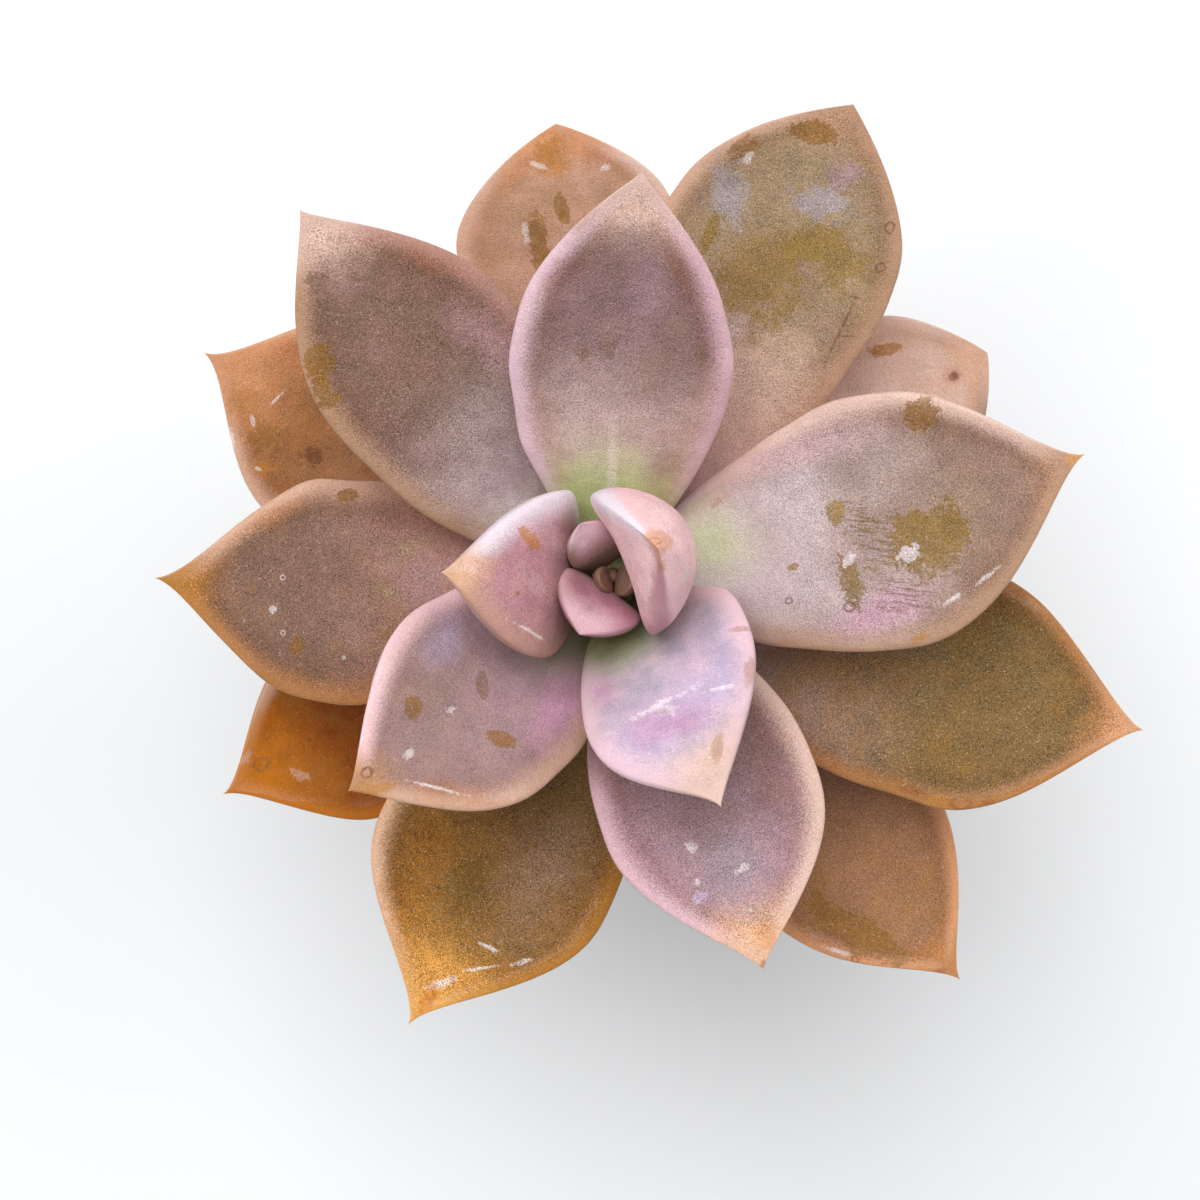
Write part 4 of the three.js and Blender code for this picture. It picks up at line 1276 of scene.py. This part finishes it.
@dataclass
class Pot:
    """The black nursery pot: a tapered wall under a stepped rim band, on a flat foot with drain holes."""

    height: float = 72.0
    rim_radius: float = 40.0
    foot_radius: float = 28.0
    wall: float = 1.4
    floor: float = 2.0
    band_height: float = 9.0
    band_step: float = 1.6
    foot_round: float = 1.0
    hole_count: int = 6
    hole_radius: float = 3.5
    hole_circle: float = 19.0
    arc_steps: int = 32

    def radius_at(self, z: float) -> float:
        """Return the outer radius under the rim band at a height."""
        return self.foot_radius + (self.rim_radius - self.band_step - self.foot_radius) * z / self.height

    def profile(self) -> ndarray:
        """Return the wall's outline from the foot, up outside, over the lip and down inside.

        Each corner is given with its rounding radius, and is replaced by an arc of that radius.

        Returns:
            The outline's points, as radius and height.
        """
        band = self.height - self.band_height
        inner = self.wall
        corners = [
            (self.foot_radius - self.foot_round, 0, 0), (self.radius_at(0), 0, self.foot_round),
            (self.radius_at(band), band, 0.25), (self.rim_radius - 0.5, band, 0.55),
            (self.rim_radius - 0.35, band + 4.5, 0.3), (self.rim_radius, self.height - 1.2, 0.5),
            (self.rim_radius, self.height, 0.65), (self.rim_radius - inner, self.height, 0.6),
            (self.rim_radius - inner - 0.7, band + 1, 1.5),
            (self.radius_at(band) - inner, band - 1.5, 0.8),
            (self.radius_at(self.floor) - inner, self.floor, 0.8),
            (self.radius_at(self.floor) - inner - 1.2, self.floor, 0),
        ]
        return rounded_line(corners)

    def build(self) -> bpy.types.Object:
        """Make the pot: the turned wall, and a floor of six equal wedges with a hole in each.

        Returns:
            The piece.
        """
        steps = self.hole_count * self.arc_steps
        angle = np.arange(steps) * 2 * pi / steps
        line = self.profile()
        wall = np.stack([line[:, :1] * np.cos(angle), line[:, :1] * np.sin(angle),
                         line[:, 1:] + 0 * angle], -1)
        points = [wall.reshape(-1, 3)]
        faces = [grid_faces(len(line), steps)]
        count = wall.shape[0] * wall.shape[1]
        for number in range(self.hole_count):
            wedge, quads = self.wedge(number, line[0, 0], line[-1, 0])
            points.append(wedge)
            faces.append(quads + count)
            count += len(wedge)
        merged, numbers = np.unique(np.round(np.concatenate(points), 4), axis=0, return_inverse=True)
        faces = [numbers.reshape(-1)[rows] for rows in faces]
        piece = to_mesh("nursery_pot", merged, faces)
        piece.data.set_sharp_from_angle(angle=radians(40))
        return settle(piece, "pot_plastic", self.plastic(), "pot")

    def wedge(self, number: int, low_radius: float, high_radius: float) -> tuple[ndarray, ndarray]:
        """Make one wedge of the floor: under side, hole wall and upper side, as one band of quads.

        Each ring runs round the hole. It goes from the wedge's own outline, along straight rays to the
        hole's circle, through the hole, and back out to the outline on the other side.

        Args:
            number: which wedge, from 0.
            low_radius: the outline's radius under the floor.
            high_radius: the outline's radius on top of the floor.

        Returns:
            The points and the quads.
        """
        half = pi / self.hole_count
        arc = np.linspace(-half, half, self.arc_steps + 1)
        spoke = np.linspace(1, 0, 13)[1:]
        hub = np.array([self.hole_circle, 0.0])

        def outline(radius: float) -> ndarray:
            """Return the wedge's outline: the outer arc, and the two spokes in to the middle and out.

            Args:
                radius: the outer arc's radius.

            Returns:
                The outline's points, one row each.
            """
            outer = np.stack([np.cos(arc), np.sin(arc)], 1) * radius
            inward = outer[-1] * spoke[:, None]
            outward = (outer[0] * spoke[:, None])[:-1][::-1]
            return np.concatenate([outer, inward, outward])

        low, high = outline(low_radius), outline(high_radius)
        bearing = np.arctan2(low[:, 1] - hub[1], low[:, 0] - hub[0])
        circle = hub + self.hole_radius * np.stack([np.cos(bearing), np.sin(bearing)], 1)
        rings = []
        for share in np.linspace(0, 1, 7):
            rings.append(np.column_stack([low + (circle - low) * share, np.zeros(len(low))]))
        for share in np.linspace(0, 1, 7):
            rings.append(np.column_stack([circle + (high - circle) * share, np.full(len(low), self.floor)]))
        flat = np.concatenate(rings)
        turn = number * 2 * half
        x = flat[:, 0] * np.cos(turn) - flat[:, 1] * np.sin(turn)
        y = flat[:, 0] * np.sin(turn) + flat[:, 1] * np.cos(turn)
        return np.column_stack([x, y, flat[:, 2]]), grid_faces(len(rings), len(low))[:, ::-1]

    def plastic(self) -> bpy.types.Material:
        """Build the pot's plastic: near black, with a moulded grain, scuffs and dust at foot and rim.

        Returns:
            The material.
        """
        material, graph, shader = new_material("black_pot_plastic")
        wear = graph.add("ShaderNodeGroup", node_tree=wear_group())
        wire(graph, wear, Cloud_Scale=45.0, Amount=0.55)
        _, _, height = graph.split(graph.place())
        low = graph.ease(height, 0.022, 0.002)
        rim = graph.ease(height, 0.058, 0.072)
        dust = graph.math("MULTIPLY", wear.outputs["Dust"],
                          graph.math("MAXIMUM", graph.math("MAXIMUM", low, rim), 0.22))
        colour = graph.mix(dust, P.COAL, P.DUST)
        colour = graph.mix(graph.math("MULTIPLY", wear.outputs["Scuffs"], 0.3), colour, P.DUST)
        grain = graph.add("ShaderNodeGroup", node_tree=grain_group())
        wire(graph, grain, Scale=1300.0, Seed=3.0)
        clean = graph.ease(wear.outputs["Specks"], 0.3, 0.7, 0.36, 0.5)
        rough = graph.math("MULTIPLY_ADD", dust, 0.35, clean)
        wire(graph, shader, Base_Color=colour, Roughness=rough, Specular_IOR_Level=0.5,
             Normal=graph.bump(grain.outputs["Value"], 0.00003))
        return material


def rounded_line(corners: Sequence[tuple[float, float, float]]) -> ndarray:
    """Round the corners of an open line.

    Args:
        corners: x, y and rounding radius of each corner. The ends keep their places.

    Returns:
        The line's points: each corner becomes an arc that touches both of its sides.
    """
    places = np.array([corner[:2] for corner in corners], float)
    out = [places[:1]]
    for before, here, after, radius in zip(places, places[1:], places[2:], [c[2] for c in corners[1:]]):
        one = (before - here) / np.linalg.norm(before - here)
        two = (after - here) / np.linalg.norm(after - here)
        half = np.arccos(np.clip(one @ two, -1, 1)) / 2
        centre = here + (one + two) / np.linalg.norm(one + two) * radius / np.sin(half)
        start, end = here + one * radius / np.tan(half), here + two * radius / np.tan(half)
        share = np.linspace(0, 1, 7)[:, None]
        chord = (start - centre) * (1 - share) + (end - centre) * share
        out.append(centre + chord / np.linalg.norm(chord, axis=1, keepdims=True) * radius)
    out.append(places[-1:])
    return np.concatenate(out)


@dataclass
class Soil:
    """The gritty soil: a crumbly top, with loose crumbs, grit and perlite lying in it."""

    pot: Pot = field(default_factory=Pot)
    top: float = 63.0
    bottom: float = 2.3
    gap: float = 0.25
    relief: float = 0.9
    stem_radius: float = 5.0
    rings: int = 90
    sides: int = 240

    def height_at(self, x: ndarray, y: ndarray) -> ndarray:
        """Return the top's height: two crossed waves that each sway, and finer lumps.

        Args:
            x: places across, in millimetres.
            y: places along, in millimetres.

        Returns:
            The height at each place, in millimetres.
        """
        across_x = 0.55 * x + 1.7 * np.sin(0.31 * y)
        across_y = 0.49 * y + 1.3 * np.sin(0.37 * x)
        flat = np.stack([x, y, 0 * x], -1)
        return (self.top + 0.8 * self.relief * np.sin(across_x) * np.cos(across_y)
                + 0.28 * waves(flat, 2.4, 5, 24) + 0.12 * waves(flat, 1.1, 6, 24))

    def build(self) -> list[bpy.types.Object]:
        """Make the soil's body and what lies loose on it, and return the pieces.

        Returns:
            The pieces.
        """
        angle = np.linspace(0, 2 * pi, self.sides, endpoint=False)[None]
        inner = self.pot.radius_at(self.top) - self.pot.wall - self.gap
        radius = inner * (1 - np.linspace(0, 1, self.rings + 1)[:-1])[:, None]
        x, y = radius * np.cos(angle), radius * np.sin(angle)
        top = np.stack([x, y, self.height_at(x, y)], -1)
        low = self.pot.radius_at(self.bottom) - self.pot.wall - 0.9
        foot = np.stack([low * np.cos(angle[0]), low * np.sin(angle[0]), 0 * angle[0] + self.bottom], -1)
        points, faces = capped_grid(np.concatenate([foot[None], top]))
        body = to_mesh("gritty_soil", points, faces)
        settle(body, "potting_soil", self.earth("gritty_soil_earth", P.PEAT, P.PEAT_LIGHT, 0.5), "soil")
        loose = [
            ("peat_crumbs", 620, (0.45, 1.3), self.earth("peat_crumb", P.PEAT, P.PEAT_LIGHT, 0.7), 11),
            ("grit_grains", 150, (0.5, 1.3), self.earth("grit_stone", P.GRIT, P.DUST, 0.6), 12),
            ("perlite_grains", 85, (0.6, 1.5), self.earth("perlite_foam", P.PERLITE, P.DUST, 0.35), 13),
        ]
        return [body, *(self.scatter(*one) for one in loose)]

    def scatter(self, name: str, count: int, sizes: tuple[float, float], skin: bpy.types.Material,
                seed: int) -> bpy.types.Object:
        """Lay lumps on the soil at seeded places: small spheres, stretched, turned and dented by waves.

        Args:
            name: the piece's name.
            count: how many lumps.
            sizes: the smallest and largest radius.
            skin: the material.
            seed: picks places, sizes and shapes.

        Returns:
            The piece.
        """
        rng = np.random.default_rng(seed)
        inner = self.pot.radius_at(self.top) - self.pot.wall - sizes[1] - 0.6
        start = self.stem_radius + sizes[1] + 0.3
        distance = np.sqrt(rng.uniform(start ** 2, inner ** 2, count))
        bearing = rng.uniform(0, 2 * pi, count)
        size = sizes[0] + (sizes[1] - sizes[0]) * rng.uniform(0, 1, count) ** 2.2
        x, y = distance * np.cos(bearing), distance * np.sin(bearing)
        middle = np.stack([x, y, self.height_at(x, y) + size * 0.28], -1)
        rise = np.linspace(-pi / 2, pi / 2, 7)[1:-1, None]
        turn = np.linspace(0, 2 * pi, 9, endpoint=False)[None]
        ball = np.stack([np.cos(rise) * np.cos(turn), np.cos(rise) * np.sin(turn),
                         np.sin(rise) + 0 * turn], -1)
        unit, faces = capped_grid(ball)
        unit[-2:] /= np.linalg.norm(unit[-2:], axis=1, keepdims=True)
        stretch = rng.uniform(0.65, 1.15, (count, 1, 3))
        frames = np.linalg.qr(rng.normal(size=(count, 3, 3)))[0]
        dents = 1 + 0.22 * waves(unit[None] * 1.0 + rng.uniform(0, 60, (count, 1, 3)), 1.3, seed + 50)
        lumps = np.einsum("nij,nkj->nki", frames, unit[None] * stretch * dents[..., None])
        lumps = lumps * size[:, None, None] + middle[:, None]
        flip = np.linalg.det(frames) < 0
        lumps[flip] = (2 * middle[:, None] - lumps)[flip]
        shift = np.arange(count)[:, None, None] * len(unit)
        rows = [(part[None] + shift).reshape(-1, part.shape[1]) for part in faces]
        return settle(to_mesh(name, lumps.reshape(-1, 3), rows), "potting_soil", skin)

    def earth(self, name: str, dark: Pigment, light: Pigment, amount: float) -> bpy.types.Material:
        """Build one kind of earth: two tones in clouds and specks, matt and rough.

        Args:
            name: the material's name.
            dark: the main tone.
            light: the tone of the dust.
            amount: how much dust there is.

        Returns:
            The material.
        """
        material, graph, shader = new_material(name)
        wear = graph.add("ShaderNodeGroup", node_tree=wear_group())
        wire(graph, wear, Cloud_Scale=210.0, Amount=amount)
        colour = graph.mix(wear.outputs["Dust"], dark, light)
        tone = graph.ease(wear.outputs["Specks"], 0.3, 0.7, 0.7, 1.2)
        colour = graph.mix(1.0, colour, graph.join(tone, tone, tone), "MULTIPLY")
        rough = graph.ease(wear.outputs["Specks"], 0.3, 0.7, 0.82, 0.98)
        wire(graph, shader, Base_Color=colour, Roughness=rough, Specular_IOR_Level=0.3,
             Normal=graph.bump(wear.outputs["Specks"], 0.0004))
        return material


@dataclass
class Studio:
    """A pale floor, soft light from above and a camera that looks straight down, in millimetres."""

    camera_place: tuple[float, float, float] = (-1.5, -2.75, 399.0)
    lens: float = 72.0
    aim_height: float = 90.0
    floor_radius: float = 4000.0
    floor_drop: float = 0.02
    floor_sides: int = 64
    sky: float = 0.33

    def build(self) -> None:
        """Make the floor, the sky, the lights and the camera."""
        self.floor()
        self.light("soft_light_top", (-250, 560, 1300), 1.1, 15.5)
        self.light("soft_light_side", (900, 320, 800), 0.8, 4.0)
        self.light("soft_light_low", (-850, -520, 700), 0.8, 2.6)
        world = bpy.data.worlds.new("pale_room")
        world.use_nodes = True
        back = world.node_tree.nodes["Background"]
        back.inputs["Color"].default_value = (0.96, 0.98, 1.0, 1.0)
        back.inputs["Strength"].default_value = self.sky
        bpy.context.scene.world = world
        camera = bpy.data.cameras.new("top_camera")
        camera.lens = self.lens
        camera.clip_start = 0.01
        holder = bpy.data.objects.new("top_camera", camera)
        holder.location = [part * MM for part in self.camera_place]
        bpy.context.scene.collection.objects.link(holder)
        bpy.context.scene.camera = holder
        bpy.context.scene.view_settings.view_transform = "Standard"

    def floor(self) -> None:
        """Lay the floor: one round sheet with a faint mottle."""
        angle = np.linspace(0, 2 * pi, self.floor_sides, endpoint=False)
        rim = np.stack([np.cos(angle), np.sin(angle), 0 * angle], -1) * self.floor_radius
        face = np.arange(self.floor_sides)[None]
        sheet = to_mesh("pale_floor", rim - [0, 0, self.floor_drop], [face])
        material, graph, shader = new_material("pale_floor_paint")
        mottle = graph.noise(graph.place(), 6.0, 3.0)
        colour = graph.mix(graph.ease(mottle, 0.3, 0.7, 0.0, 0.04), P.FLOOR, P.DUST)
        wire(graph, shader, Base_Color=colour, Roughness=0.7, Specular_IOR_Level=0.2)
        sheet.data.materials.append(material)

    def light(self, name: str, place: tuple[float, float, float], size: float, power: float) -> None:
        """Hang one square soft light that faces the rosette.

        Args:
            name: the light's name.
            place: where it hangs, in millimetres.
            size: its side in metres.
            power: its power in watts.
        """
        lamp = bpy.data.lights.new(name, "AREA")
        lamp.size = size
        lamp.energy = power
        holder = bpy.data.objects.new(name, lamp)
        holder.location = [part * MM for part in place]
        aim = Vector((0, 0, self.aim_height * MM)) - holder.location
        holder.rotation_euler = aim.to_track_quat("-Z", "Y").to_euler()
        bpy.context.scene.collection.objects.link(holder)


def main() -> None:
    """Build the studio, the pot, the soil, the stem and the rosette, and report each piece."""
    logging.basicConfig(level=logging.INFO, format="%(name)s: %(message)s")
    Studio().build()
    pot = Pot()
    pieces = [pot.build(), *Soil(pot).build(), Stem().build(), *Rosette().build()]
    for piece in pieces:
        places = np.empty(len(piece.data.vertices) * 3, np.float32)
        piece.data.vertices.foreach_get("co", places)
        size = " x ".join(f"{part:.1f}" for part in np.ptp(places.reshape(-1, 3), axis=0) / MM)
        log.info("%s: %d faces, %s mm", piece.name, len(piece.data.polygons), size)


if __name__ == "__main__":
    main()
